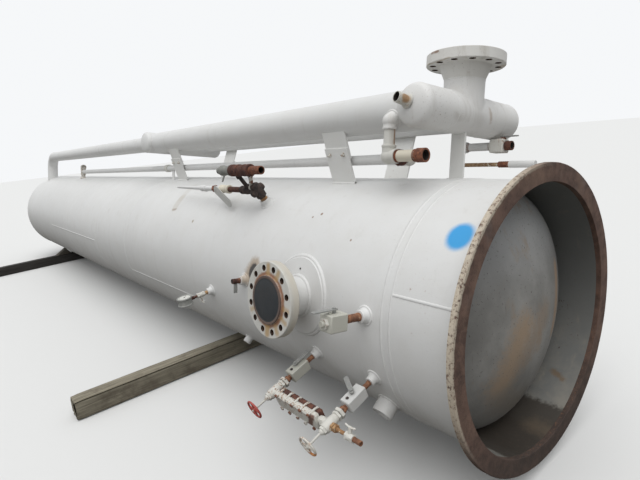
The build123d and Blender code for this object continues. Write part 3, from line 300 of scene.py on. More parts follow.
class Coat(Bench):
    """The node tree of one material, read in Object coordinates."""

    def __init__(self, name: str) -> None:
        """Start a material with its surface shader."""
        self.material = bpy.data.materials.new(name)
        self.material.use_nodes = True
        super().__init__(self.material.node_tree)
        self.shader = self.tree.nodes["Principled BSDF"]
        self.place = self.out("ShaderNodeTexCoord", socket="Object")

    def axis(self, letter: str) -> Signal:
        """One coordinate of the place."""
        return self.out("ShaderNodeSeparateXYZ", None, {0: self.place}, letter)

    def noise(self, scale: float, detail: float = 4.0, rough: float = 0.55,
              stretch: Colour = (1, 1, 1), seed: float = 0.0) -> Signal:
        """Cloudy noise.

        Args:
            scale: Features per metre.
            detail: Octaves.
            rough: Share of the finer octaves.
            stretch: Scale of each axis; a small one draws the features out.
            seed: Moves the pattern.

        Returns:
            Values about 0.5.
        """
        moved = self.out("ShaderNodeMapping", None,
                         {"Vector": self.place, "Location": (seed, -seed, seed / 2), "Scale": stretch})
        return self.out("ShaderNodeTexNoise", None,
                        {"Vector": moved, "Scale": scale, "Detail": detail, "Roughness": rough})

    def mix(self, share: object, first: object, second: object) -> Signal:
        """Blend two colours.

        Args:
            share: Share of the second.
            first: Colour or link.
            second: Colour or link.

        Returns:
            The blend.
        """
        pair = [(*c, 1.0) if isinstance(c, tuple) else c for c in (first, second)]
        return self.out("ShaderNodeMix", {"data_type": "RGBA"},
                        {"Factor_Float": share, "A_Color": pair[0], "B_Color": pair[1]}, "Result_Color")

    def gap(self, start: Vector, end: Vector) -> Signal:
        """Distance from a line between two points.

        Args:
            start: One end.
            end: The other end, which may be the same point.

        Returns:
            The distance in metres.
        """
        from_start = self.out("ShaderNodeVectorMath", {"operation": "SUBTRACT"},
                              {0: self.place, 1: tuple(start)})
        run = end - start
        if run.length > TINY:
            along = self.out("ShaderNodeVectorMath", {"operation": "DOT_PRODUCT"},
                             {0: from_start, 1: tuple(run / run.length_squared)}, "Value")
            reach = along.most(0.0).least(1.0)
            foot = self.out("ShaderNodeVectorMath", {"operation": "SCALE"}, {0: tuple(run), "Scale": reach})
            from_start = self.out("ShaderNodeVectorMath", {"operation": "SUBTRACT"},
                                  {0: from_start, 1: foot})
        return self.out("ShaderNodeVectorMath", {"operation": "LENGTH"}, {0: from_start}, "Value")

    def dress(self, colour: object, roughness: object, height: Signal, depth: float,
              metallic: object = 0.0, strength: float = 1.0) -> bpy.types.Material:
        """Feed the shader.

        Args:
            colour: Base colour.
            roughness: Roughness.
            height: Height of the bump, in depths.
            depth: Depth of the bump in metres.
            metallic: Metallic share.
            strength: Share of the bump that shows.

        Returns:
            The material.
        """
        normal = self.out("ShaderNodeBump", None, {"Height": height, "Distance": depth, "Strength": strength})
        for key, value in (("Base Color", colour), ("Roughness", roughness),
                           ("Metallic", metallic), ("Normal", normal)):
            if isinstance(value, Signal):
                self.tree.links.new(value.socket, self.shader.inputs[key])
            else:
                self.shader.inputs[key].default_value = (*value, 1.0) if isinstance(value, tuple) else value
        return self.material


# Finishes


@dataclass(frozen=True)
class Mark:
    """A stain, spray, bare patch or patch of painted shade along a line between two points."""

    start: Vector
    end: Vector
    width: float
    soft: float
    colour: Colour
    strength: float = 1.0
    ragged: float = 0.0
    ring: float = 0.0

    def lay(self, coat: Coat, under: object) -> Signal:
        """Mix the mark over a colour.

        Args:
            coat: The material in the making.
            under: Colour below.

        Returns:
            The colour with the mark on it.
        """
        away = coat.gap(self.start, self.end)
        if self.ring:
            away = (away - self.ring).most(self.ring - away)
        if self.ragged:
            away = away + (coat.noise(38, 5, 0.65) - 0.5) * self.ragged
        share = away.step(self.width + self.soft, max(self.width - self.soft, 0.0)) * self.strength
        return coat.mix(share, under, self.colour)


@dataclass(frozen=True)
class Paint:
    """Old oil paint on steel: uneven tone, grime runs, chips to rust and splashed dirt below."""

    name: str
    colour: Colour = (0.68, 0.68, 0.67)
    chips: float = 0.18
    bleed: float = 0.5
    grime: float = 0.35
    splash: float = 0.35
    grain: float = 60.0
    chip_colour: Colour = (0.085, 0.055, 0.04)
    rust_colour: Colour = (0.33, 0.15, 0.065)
    marks: tuple[Mark, ...] = ()

    def material(self) -> bpy.types.Material:
        """Make the material."""
        coat = Coat(self.name)
        tone = coat.noise(0.8, 4, 0.5).step(0.35, 0.7)
        cloud = coat.noise(7, 5, 0.6, seed=3).step(0.3, 0.75)
        colour = coat.mix(tone * 0.5, self.colour, tuple(c * 0.9 for c in self.colour))
        colour = coat.mix(cloud * 0.22, colour, tuple(c * f for c, f in zip(self.colour, (0.86, 0.84, 0.8))))
        runs = coat.noise(1.0, 6, 0.62, (13, 13, 0.55), 7).step(0.55, 0.76)
        colour = coat.mix(runs * self.grime, colour, (0.30, 0.26, 0.20))
        smut = coat.noise(90, 3, 0.7, seed=1).step(0.60, 0.74) * coat.noise(2.3, 3, 0.5, seed=4).step(0.42, 0.62)
        colour = coat.mix(smut * min(self.grime * 1.2, 1.0), colour, (0.16, 0.14, 0.12))
        low = coat.axis("Z").step(0.85, 0.1) * coat.noise(5, 6, 0.65, seed=9).step(0.3, 0.7)
        colour = coat.mix(low * self.splash, colour, (0.30, 0.27, 0.22))
        for mark in self.marks:
            colour = mark.lay(coat, colour)
        where = coat.noise(1.9, 3, 0.5, seed=12).step(0.62 - self.chips * 0.5, 0.80 - self.chips * 0.5)
        flake = coat.noise(self.grain, 4, 0.62, seed=2)
        edge = 0.735 - self.chips * 0.22
        halo = flake.step(edge - 0.10, edge) * where
        chip = flake.step(edge, edge + 0.015) * where
        colour = coat.mix(halo * self.bleed, colour, self.rust_colour)
        colour = coat.mix(chip, colour, self.chip_colour)
        rough = 0.46 + runs * 0.12 + low * 0.15 + chip * 0.35 + smut * 0.2
        peel = coat.noise(260, 3, 0.5, seed=5) * 0.3 - chip + coat.noise(24, 4, 0.5, seed=6) * 0.6
        return coat.dress(colour, rough, peel, 0.0009)


@dataclass(frozen=True)
class Rust:
    """Rusted steel: mottled, pitted and rough, with what is left of its paint."""

    name: str
    dark: Colour = (0.075, 0.038, 0.024)
    bright: Colour = (0.33, 0.125, 0.045)
    paint: float = 0.0
    paint_colour: Colour = (0.55, 0.53, 0.48)
    scale: float = 45.0

    def material(self) -> bpy.types.Material:
        """Make the material."""
        coat = Coat(self.name)
        mottle = coat.noise(self.scale, 6, 0.65, seed=2).step(0.36, 0.66)
        bloom = coat.noise(self.scale / 4, 4, 0.55, seed=5).step(0.4, 0.68)
        colour = coat.mix(mottle, self.dark, tuple((a + b) / 2 for a, b in zip(self.dark, self.bright)))
        colour = coat.mix(bloom * mottle, colour, self.bright)
        pits = coat.noise(self.scale * 6, 3, 0.7, seed=8).step(0.58, 0.7)
        colour = coat.mix(pits * 0.7, colour, tuple(c * 0.45 for c in self.dark))
        left = coat.noise(self.scale * 0.8, 5, 0.7, seed=11).step(0.80 - self.paint * 0.5, 0.84 - self.paint * 0.5)
        left = left * float(self.paint > 0)
        colour = coat.mix(left, colour, self.paint_colour)
        relief = mottle * 0.6 - pits + left * 0.8 + coat.noise(self.scale * 3, 4, 0.6) * 0.5
        return coat.dress(colour, 0.88 - left * 0.3, relief, 0.0012)


@dataclass(frozen=True)
class RingPlate:
    """Rusty face of the base ring, with old white paint left round its rim and painted shade darkening its lower part.
    """

    name: str = "base_ring_rust"
    rim_from: float = 0.750

    def material(self) -> bpy.types.Material:
        """Make the material."""
        coat = Coat(self.name)
        mottle = coat.noise(16, 7, 0.66, seed=2).step(0.32, 0.7)
        colour = coat.mix(mottle, (0.066, 0.038, 0.029), (0.145, 0.086, 0.064))
        tan = coat.noise(3.2, 5, 0.6, seed=4).step(0.47, 0.66) * coat.axis("Z").step(0.25, 0.75)
        colour = coat.mix(tan * 0.35, colour, (0.23, 0.150, 0.105))
        grey = coat.noise(5, 6, 0.6, seed=14).step(0.52, 0.7) * coat.axis("Z").step(0.9, 1.4)
        colour = coat.mix(grey * 0.4, colour, (0.18, 0.152, 0.138))
        pits = coat.noise(120, 3, 0.7, seed=6).step(0.62, 0.72)
        colour = coat.mix(pits * 0.6, colour, (0.035, 0.022, 0.017))
        # Painted shade: the lower part of the ring is darkened towards near black.
        colour = coat.mix(coat.axis("Z").step(0.60, 0.15) * 0.65, colour, (0.030, 0.024, 0.020))
        away = coat.gap(spot(0, 0, 0), spot(-0.5, 0, 0))
        back = coat.axis("X").step(FACE_X - 0.002, FACE_X - 0.007)
        near = coat.axis("Y").step(0.15, -0.35) * coat.axis("Z").step(0.35, 0.75) * away.step(0.70, 0.72)
        ragged = coat.noise(26, 6, 0.7, seed=8) * 0.016
        rim = (away + ragged).step(self.rim_from + 0.006, self.rim_from + 0.014)
        worn = coat.noise(55, 6, 0.7, seed=10).step(0.66, 0.50)
        white = back.most(rim * 0.85) * worn * near
        colour = coat.mix(white * 0.92, colour, (0.56, 0.49, 0.39))
        rust = coat.noise(85, 5, 0.7, seed=13).step(0.55, 0.64) * back
        colour = coat.mix(rust * 0.75, colour, (0.17, 0.085, 0.048))
        relief = mottle * 0.7 - pits * 0.8 + coat.noise(60, 5, 0.6) * 0.7 + white * 0.5
        return coat.dress(colour, 0.82 - white * 0.25, relief, 0.0016)


@dataclass(frozen=True)
class DomeGrey:
    """Weathered grey primer on the lower head, with dried mud patches and speckles; a painted highlight lightens its
    upper part and painted shade darkens its lower part.
    """

    name: str = "dome_grey"
    patches: tuple[Mark, ...] = ()

    def material(self) -> bpy.types.Material:
        """Make the material."""
        coat = Coat(self.name)
        cloud = coat.noise(2.2, 6, 0.62, seed=3).step(0.3, 0.72)
        colour = coat.mix(cloud, (0.150, 0.146, 0.136), (0.270, 0.265, 0.250))
        # Painted highlight: the upper part is lightened towards a pale blue-grey.
        colour = coat.mix(coat.axis("Z").step(0.9, 1.35) * 0.5, colour, (0.33, 0.34, 0.35))
        for patch in self.patches:
            colour = patch.lay(coat, colour)
        # Painted shade: the lower part is darkened towards near black.
        colour = coat.mix(coat.axis("Z").step(0.75, 0.30) * 0.55, colour, (0.075, 0.070, 0.062))
        scratch = coat.noise(1.0, 6, 0.7, (30, 30, 2.5), 5).step(0.62, 0.72)
        colour = coat.mix(scratch * 0.45, colour, (0.13, 0.115, 0.10))
        speck = coat.noise(75, 3, 0.65, seed=7).step(0.64, 0.69)
        colour = coat.mix(speck * 0.75, colour, (0.07, 0.058, 0.05))
        smear = coat.noise(9, 7, 0.7, (1, 0.7, 0.35), 9).step(0.55, 0.72)
        colour = coat.mix(smear * 0.5, colour, (0.26, 0.185, 0.12))
        relief = coat.noise(120, 4, 0.6) * 0.6 - speck * 0.5 + cloud * 0.3
        return coat.dress(colour, 0.78 + smear * 0.1, relief, 0.0009)


@dataclass(frozen=True)
class Wood:
    """Weathered timber: grain along the baulk, growth rings on its ends, cracks and dirt."""

    name: str
    dark: Colour
    pale: Colour
    dirt: Colour = (0.09, 0.07, 0.05)

    def material(self) -> bpy.types.Material:
        """Make the material."""
        coat = Coat(self.name)
        grain = coat.noise(1.0, 7, 0.68, (85, 3.2, 85), 2)
        band = coat.noise(1.0, 4, 0.6, (17, 0.8, 17), 5).step(0.35, 0.7)
        colour = coat.mix(grain.step(0.3, 0.7), self.dark, self.pale)
        colour = coat.mix(band * 0.5, colour, tuple((a + b) / 2 for a, b in zip(self.dark, self.pale)))
        crack = coat.noise(1.0, 5, 0.6, (48, 1.3, 48), 8).step(0.665, 0.70)
        colour = coat.mix(crack * 0.85, colour, tuple(c * 0.25 for c in self.dark))
        soil = coat.noise(7, 6, 0.65, seed=11).step(0.45, 0.7)
        colour = coat.mix(soil * 0.55, colour, self.dirt)
        return coat.dress(colour, 0.9, grain * 0.8 - crack * 1.6, 0.0025)


@dataclass(frozen=True)
class Plain:
    """A smooth dull surface with slight wear, dust and fine scratches."""

    name: str
    colour: Colour
    dust: Colour = (0.32, 0.29, 0.25)
    dusty: float = 0.3
    rough: float = 0.45
    metallic: float = 0.0
    scale: float = 30.0

    def material(self) -> bpy.types.Material:
        """Make the material."""
        coat = Coat(self.name)
        wear = coat.noise(self.scale, 6, 0.65, seed=2).step(0.4, 0.72)
        colour = coat.mix(wear * self.dusty, self.colour, self.dust)
        fine = coat.noise(self.scale * 8, 3, 0.6, seed=5)
        colour = coat.mix(fine.step(0.62, 0.74) * 0.35, colour, tuple(c * 0.5 for c in self.colour))
        metal = self.metallic * (1 - wear * 0.6) if self.metallic else 0.0
        return coat.dress(colour, self.rough + wear * 0.3, fine * 0.5 + wear * 0.5, 0.0006, metal)


# Mesh making


class Form:
    """One piece in the making: closed solids gathered in one mesh."""

    def __init__(self) -> None:
        """Start with no faces, on the first finish."""
        self.mesh = bmesh.new()
        self.coat = 0
        self.inside = 0

    def face(self, corners: Sequence[bmesh.types.BMVert]) -> None:
        """Add a smooth face with the current finish."""
        made = self.mesh.faces.new(corners)
        made.smooth = True
        made.material_index = self.coat

    def skin(self, rings: Sequence[Sequence[Vector]], wrap: bool = False, hollow: int = 0) -> "Form":
        """Join rings of points into a closed solid.

        Args:
            rings: Points of each ring; a ring of one point is an apex.
            wrap: Whether the last ring joins the first; otherwise both ends are capped.
            hollow: Ring from which the inside starts, on the last finish; 0 where there is none.

        Returns:
            The form itself.
        """
        made = [[self.mesh.verts.new(p) for p in ring] for ring in rings]
        pairs = list(zip(made, made[1:]))
        if wrap:
            pairs.append((made[-1], made[0]))
        outside = self.coat
        for step, (low, high) in enumerate(pairs):
            self.coat = self.inside if hollow and step >= hollow else outside
            count = max(len(low), len(high))
            for i in range(count):
                j = (i + 1) % count
                corners = (low[i % len(low)], low[j % len(low)], high[j % len(high)], high[i % len(high)])
                self.face(list(dict.fromkeys(corners)))
        self.coat = outside
        if not wrap:
            for end in (made[0], made[-1]):
                if len(end) > 2:
                    self.face(end)
        return self

    def lathe(self, site: Site, profile: Iterable[tuple[float, float]], segments: int = 32,
              wrap: bool = False, hollow: int = 0) -> "Form":
        """Turn a profile about a site's z.

        Args:
            site: Where the profile stands.
            profile: Radius and height of each corner.
            segments: Faces round the axis.
            wrap: Whether the profile is closed, as for a ring.
            hollow: Corner from which the inside starts; 0 where there is none.

        Returns:
            The form itself.
        """
        rings = []
        for radius, height in profile:
            if radius < TINY:
                rings.append([site.point(0, 0, height)])
            else:
                rings.append([site.point(radius * cos(tau * i / segments), radius * sin(tau * i / segments), height)
                              for i in range(segments)])
        return self.skin(rings, wrap, hollow)

    def rod(self, site: Site, radius: float, length: float, chamfer: float = 0.0012,
            segments: int = 32) -> "Form":
        """Add a round bar with chamfered ends."""
        low, high = sorted((0.0, length))
        profile = [(radius - chamfer, low), (radius, low + chamfer), (radius, high - chamfer),
                   (radius - chamfer, high)]
        return self.lathe(site, profile, segments)

    def socket(self, site: Site, radius: float, bore: float, length: float, depth: float,
               segments: int = 32) -> "Form":
        """Add a round bar with a blind bore in its far end, threaded inside.

        Args:
            site: Where the bar starts.
            radius: Outer radius.
            bore: Radius of the bore.
            length: Length of the bar.
            depth: Depth of the bore.
            segments: Faces round the axis.

        Returns:
            The form itself.
        """
        chamfer = 0.0015
        profile = [(radius - chamfer, 0), (radius, chamfer), (radius, length - chamfer),
                   (radius - chamfer, length), (bore + chamfer, length), (bore, length - chamfer)]
        turns = max(int(depth / 0.004), 1)
        for turn in range(1, turns + 1):
            profile.append((bore + (0.0012 if turn % 2 else 0.0), length - depth * turn / turns))
        profile.append((0, length - depth))
        return self.lathe(site, profile, segments, hollow=5 if self.inside else 0)

    def threads(self, site: Site, radius: float, length: float, pitch: float = 0.0035,
                segments: int = 28) -> "Form":
        """Add a threaded length, its grooves side by side."""
        turns = max(int(length / pitch), 2)
        profile = [(radius * (1.0 if i % 2 else 0.93), length * i / (2 * turns)) for i in range(2 * turns + 1)]
        return self.lathe(site, profile, segments)

    def hexagon(self, site: Site, flats: float, length: float) -> "Form":
        """Add a hexagonal bar whose ends are chamfered as a nut's are."""
        corner = flats / sqrt(3)
        cut = corner * 0.07
        profile = [(corner - cut * 1.6, 0), (corner, cut), (corner, length - cut), (corner - cut * 1.6, length)]
        return self.lathe(site, profile, 6)

    def prism(self, site: Site, outline: Sequence[tuple[float, float]], length: float,
              chamfer: float = 0.0) -> "Form":
        """Draw an outline out along a site's z.

        Args:
            site: Where the outline lies.
            outline: Corners, in order, of a convex shape.
            length: Length of the prism.
            chamfer: Size of the chamfer round both ends.

        Returns:
            The form itself.
        """
        inner = inset(outline, chamfer)
        levels = [(inner, 0.0), (outline, chamfer), (outline, length - chamfer), (inner, length)]
        if not chamfer:
            levels = [levels[0], levels[-1]]
        return self.skin([[site.point(x, y, z) for x, y in shape] for shape, z in levels])

    def bar(self, site: Site, width: float, height: float, length: float, chamfer: float = 0.0015) -> "Form":
        """Add a rectangular bar with all its edges chamfered."""
        return self.prism(site, rectangle(width, height, chamfer), length, chamfer)

    def sweep(self, path: Sequence[Vector], radius: float | Sequence[float], segments: int = 12,
              wrap: bool = False) -> "Form":
        """Add a round bar along a path.

        Args:
            path: Points of its centre line.
            radius: Its radius, or one for each point.
            segments: Faces round it.
            wrap: Whether the path closes on itself.

        Returns:
            The form itself.
        """
        count = len(path)
        radii = [radius] * count if isinstance(radius, float) else list(radius)
        square = None
        rings = []
        for i, point in enumerate(path):
            before = path[(i - 1) % count] if wrap or i else point
            after = path[(i + 1) % count] if wrap or i < count - 1 else point
            run = (after - before).normalized()
            if square is None:
                square = run.orthogonal().normalized()
            square = (square - run * square.dot(run)).normalized()
            other = run.cross(square)
            rings.append([point + (square * cos(tau * k / segments) + other * sin(tau * k / segments)) * radii[i]
                          for k in range(segments)])
        return self.skin(rings, wrap)

    def mesh_data(self, name: str, crease: float = 32.0) -> bpy.types.Mesh:
        """Close the form.

        Args:
            name: Name of the mesh.
            crease: Angle in degrees past which an edge is sharp.

        Returns:
            The mesh, its faces pointing outwards.
        """
        bmesh.ops.recalc_face_normals(self.mesh, faces=self.mesh.faces)
        data = bpy.data.meshes.new(name)
        self.mesh.to_mesh(data)
        self.mesh.free()
        data.set_sharp_from_angle(angle=radians(crease))
        return data


def inset(outline: Sequence[tuple[float, float]], distance: float) -> list[tuple[float, float]]:
    """Move the corners of a convex outline inwards by a distance."""
    count = len(outline)
    middle = (sum(p[0] for p in outline) / count, sum(p[1] for p in outline) / count)
    moved = []
    for x, y in outline:
        dx, dy = middle[0] - x, middle[1] - y
        reach = max(sqrt(dx * dx + dy * dy), TINY)
        share = min(distance * 1.3 / reach, 0.9)
        moved.append((x + dx * share, y + dy * share))
    return moved


def rectangle(width: float, height: float, cut: float) -> list[tuple[float, float]]:
    """A rectangle about its middle with its corners cut."""
    w, h = width / 2, height / 2
    return [(w, -h + cut), (w, h - cut), (w - cut, h), (-w + cut, h),
            (-w, h - cut), (-w, -h + cut), (-w + cut, -h), (w - cut, -h)]


def slot_outline(start: float, end: float, width: float, steps: int = 8) -> list[tuple[float, float]]:
    """A flat bar's outline along x with round ends."""
    radius = width / 2
    half = [(end - radius + radius * cos(a), radius * sin(a))
            for a in (radians(-90 + 180 * i / steps) for i in range(steps + 1))]
    other = [(start + radius - radius * cos(a), -radius * sin(a))
             for a in (radians(-90 + 180 * i / steps) for i in range(steps + 1))]
    return half + other


def arc(middle: Vector, first: Vector, second: Vector, start: float, end: float, steps: int) -> list[Vector]:
    """Points of an arc in the plane of two vectors, angles in degrees."""
    angles = [radians(start + (end - start) * i / steps) for i in range(steps + 1)]
    return [middle + first * cos(a) + second * sin(a) for a in angles]


def dished(radius: float, depth: float, steps: int, wall: float = 0.0) -> list[tuple[float, float]]:
    """Profile of a dished head: knuckle, then crown.

    Args:
        radius: Radius at the tangent line.
        depth: Depth of the head.
        steps: Faces along each arc of the profile.
        wall: How far inside the outer skin the profile lies.

    Returns:
        Radius and height of each corner, from the tangent to the apex.
    """
    knuckle = radius * KNUCKLE_SHARE
    reach = radius - knuckle
    crown = (reach ** 2 + depth ** 2 - knuckle ** 2) / (2 * (depth - knuckle))
    split = atan2(crown - depth, reach)
    turn = knuckle - wall
    points = [(reach + turn * cos(split * i / steps), turn * sin(split * i / steps)) for i in range(steps)]
    for i in range(steps + 1):
        angle = split + (pi / 2 - split) * i / steps
        points.append(((crown - wall) * cos(angle), depth - crown + (crown - wall) * sin(angle)))
    points[-1] = (0.0, depth - wall)
    return points


class Slot(Enum):
    """Material slots."""

    VESSEL = "vessel_white"
    DOME = "dome_grey"
    RING = "ring_rust"
    FLANGE = "flange_white"
    COVER = "cover_grey"
    PIPE = "pipe_white"
    POST = "post_white"
    FITTING = "fitting_rust"
    VALVE = "valve_steel"
    GAUGE = "gauge_case"
    WHEEL = "handwheel_red"
    TIMBER = "timber_grey"


def put(name: str, data: bpy.types.Mesh, finishes: Sequence[bpy.types.Material], slot: Slot,
        nodes: Sequence[str] = ()) -> bpy.types.Object:
    """Hand a finished mesh over as a piece of the fixed body.

    Args:
        name: Name of the piece.
        data: Its mesh, in the model's frame.
        finishes: Its materials, in the order of its faces' indices.
        slot: A material slot; not used.
        nodes: CAD nodes it stands for.

    Returns:
        The piece.
    """
    piece = bpy.data.objects.new(name, data)
    bpy.context.scene.collection.objects.link(piece)
    for i, finish in enumerate(finishes):
        if i < len(data.materials):
            data.materials[i] = finish
        else:
            data.materials.append(finish)
    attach(piece, "root")
    if nodes:
        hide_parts(*nodes)
    LOG.info("%s: %d faces", name, len(data.polygons))
    return piece


# Geometry Nodes


class GeometryTree(Bench):
    """A Geometry Nodes tree with named inputs, ending in real faces of one material."""

    def __init__(self, name: str, inputs: dict[str, str]) -> None:
        """Start a tree.

        Args:
            name: Name of the tree.
            inputs: Name and socket type of each input.
        """
        tree = bpy.data.node_groups.new(name, "GeometryNodeTree")
        tree.interface.new_socket("Geometry", in_out="INPUT", socket_type="NodeSocketGeometry")
        tree.interface.new_socket("Geometry", in_out="OUTPUT", socket_type="NodeSocketGeometry")
        for key, kind in {**inputs, "Finish": "NodeSocketMaterial"}.items():
            tree.interface.new_socket(key, in_out="INPUT", socket_type=kind)
        super().__init__(tree)
        self.source = self.add("NodeGroupInput")

    def given(self, name: str) -> Signal:
        """A named input."""
        return Signal(self, self.source.outputs[name])

    def close(self, geometry: Signal) -> None:
        """Make instances real, set the material and end the tree."""
        real = self.out("GeometryNodeRealizeInstances", None, {0: geometry})
        smooth = self.out("GeometryNodeSetShadeSmooth", None, {"Geometry": real})
        coated = self.out("GeometryNodeSetMaterial", None, {"Geometry": smooth, "Material": self.given("Finish")})
        self.add("NodeGroupOutput", None, {0: coated})

    def apply(self, base: bpy.types.Mesh, values: dict[str, object], name: str,
              crease: float = 35.0) -> bpy.types.Mesh:
        """Run the tree on a mesh.

        Args:
            base: Points or paths that the tree works on.
            values: Value of each named input.
            name: Name of the new mesh.
            crease: Angle in degrees past which an edge is sharp.

        Returns:
            The plain mesh that the tree makes.
        """
        holder = bpy.data.objects.new(name + "_base", base)
        bpy.context.scene.collection.objects.link(holder)
        modifier = holder.modifiers.new(name, "NODES")
        modifier.node_group = self.tree
        sockets = {item.name: item.identifier for item in self.tree.interface.items_tree
                   if item.item_type == "SOCKET" and item.in_out == "INPUT"}
        for key, value in values.items():
            modifier[sockets[key]] = value
        holder.update_tag()
        bpy.context.view_layer.update()
        evaluated = holder.evaluated_get(bpy.context.evaluated_depsgraph_get())
        data = bpy.data.meshes.new_from_object(evaluated)
        data.name = name
        holder.modifiers.remove(modifier)
        bpy.data.objects.remove(holder)
        bpy.data.meshes.remove(base)
        data.set_sharp_from_angle(angle=radians(crease))
        return data


@dataclass
class Bead:
    """The centre line of a weld bead."""

    path: list[Vector]
    radius: float
    closed: bool = False


class BeadTree(GeometryTree):
    """Weld beads: each path becomes a rippled cord of metal."""

    def __init__(self) -> None:
        """Build the tree."""
        super().__init__("weld_bead", {"Pitch": "NodeSocketFloat", "Ripple": "NodeSocketFloat",
                                       "Uneven": "NodeSocketFloat", "Sides": "NodeSocketInt",
                                       "Seed": "NodeSocketInt"})
        curve = self.out("GeometryNodeMeshToCurve", None, {0: Signal(self, self.source.outputs[0])})
        fine = self.out("GeometryNodeResampleCurve", {"mode": "LENGTH"},
                        {"Curve": curve, "Length": self.given("Pitch")})
        radius = self.out("GeometryNodeInputNamedAttribute", {"data_type": "FLOAT"}, {"Name": "bead"})
        odd = Signal(self, self.add("ShaderNodeMath", {"operation": "MODULO"},
                                    {0: self.out("GeometryNodeInputIndex"), 1: 2.0}).outputs[0])
        chance = self.out("FunctionNodeRandomValue", {"data_type": "FLOAT"}, {"Seed": self.given("Seed")}, 1)
        scale = radius * (1 + odd * self.given("Ripple") + chance * self.given("Uneven"))
        ring = self.out("GeometryNodeCurvePrimitiveCircle", None,
                        {"Resolution": self.given("Sides"), "Radius": 1.0})
        self.close(self.out("GeometryNodeCurveToMesh", None,
                            {"Curve": fine, "Profile Curve": ring, "Scale": scale, "Fill Caps": True}))

    def lay(self, beads: Sequence[Bead], finish: bpy.types.Material, name: str, pitch: float = 0.007,
            sides: int = 8) -> bpy.types.Mesh:
        """Lay beads along their paths.

        Args:
            beads: The centre lines.
            finish: Their material.
            name: Name of the mesh.
            pitch: Length of half a ripple.
            sides: Faces round a bead.

        Returns:
            The mesh.
        """
        points, edges, radii = [], [], []
        for bead in beads:
            first = len(points)
            points += bead.path
            radii += [bead.radius] * len(bead.path)
            edges += [(first + i, first + i + 1) for i in range(len(bead.path) - 1)]
            if bead.closed:
                edges.append((len(points) - 1, first))
        base = bpy.data.meshes.new(name + "_paths")
        base.from_pydata(points, edges, [])
        base.attributes.new("bead", "FLOAT", "POINT").data.foreach_set("value", radii)
        values = {"Pitch": pitch, "Ripple": 0.10, "Uneven": 0.10, "Sides": sides, "Seed": 7, "Finish": finish}
        return self.apply(base, values, name, 80.0)


class StudTree(GeometryTree):
    """Copies of one small piece on marked points, each turned to its own aim."""

    def __init__(self) -> None:
        """Build the tree."""
        super().__init__("studs", {"Stud": "NodeSocketObject", "Size": "NodeSocketFloat",
                                   "Turn": "NodeSocketFloat", "Seed": "NodeSocketInt"})
        aim = self.out("GeometryNodeInputNamedAttribute", {"data_type": "FLOAT_VECTOR"}, {"Name": "aim"})
        chance = self.out("FunctionNodeRandomValue", {"data_type": "FLOAT"}, {"Seed": self.given("Seed")}, 1)
        spin = self.out("FunctionNodeAxisAngleToRotation", None,
                        {"Axis": (0, 0, 1), "Angle": chance * self.given("Turn")})
        turn = self.out("FunctionNodeAlignRotationToVector", {"axis": "Z"}, {"Rotation": spin, "Vector": aim})
        stud = self.out("GeometryNodeObjectInfo", None, {"Object": self.given("Stud")}, "Geometry")
        size = self.out("ShaderNodeCombineXYZ", None, {i: self.given("Size") for i in range(3)})
        self.close(self.out("GeometryNodeInstanceOnPoints", None,
                            {"Points": Signal(self, self.source.outputs[0]), "Instance": stud,
                             "Rotation": turn, "Scale": size}))

    def set(self, sites: Sequence[Site], stud: Form, finish: bpy.types.Material, name: str,
            turn: float = tau) -> bpy.types.Mesh:
        """Set one stud on each site.

        Args:
            sites: Where the studs stand and look.
            stud: The stud, standing at the origin along +Z.
            finish: Their material.
            name: Name of the mesh.
            turn: Most that a stud is turned about itself.

        Returns:
            The mesh.
        """
        pattern = bpy.data.objects.new(name + "_stud", stud.mesh_data(name + "_stud"))
        base = bpy.data.meshes.new(name + "_places")
        base.from_pydata([s.origin for s in sites], [], [])
        aims = base.attributes.new("aim", "FLOAT_VECTOR", "POINT")
        aims.data.foreach_set("vector", [c for s in sites for c in s.z])
        data = self.apply(base, {"Stud": pattern, "Size": 1.0, "Turn": turn, "Seed": 3, "Finish": finish}, name)
        bpy.data.objects.remove(pattern)
        return data


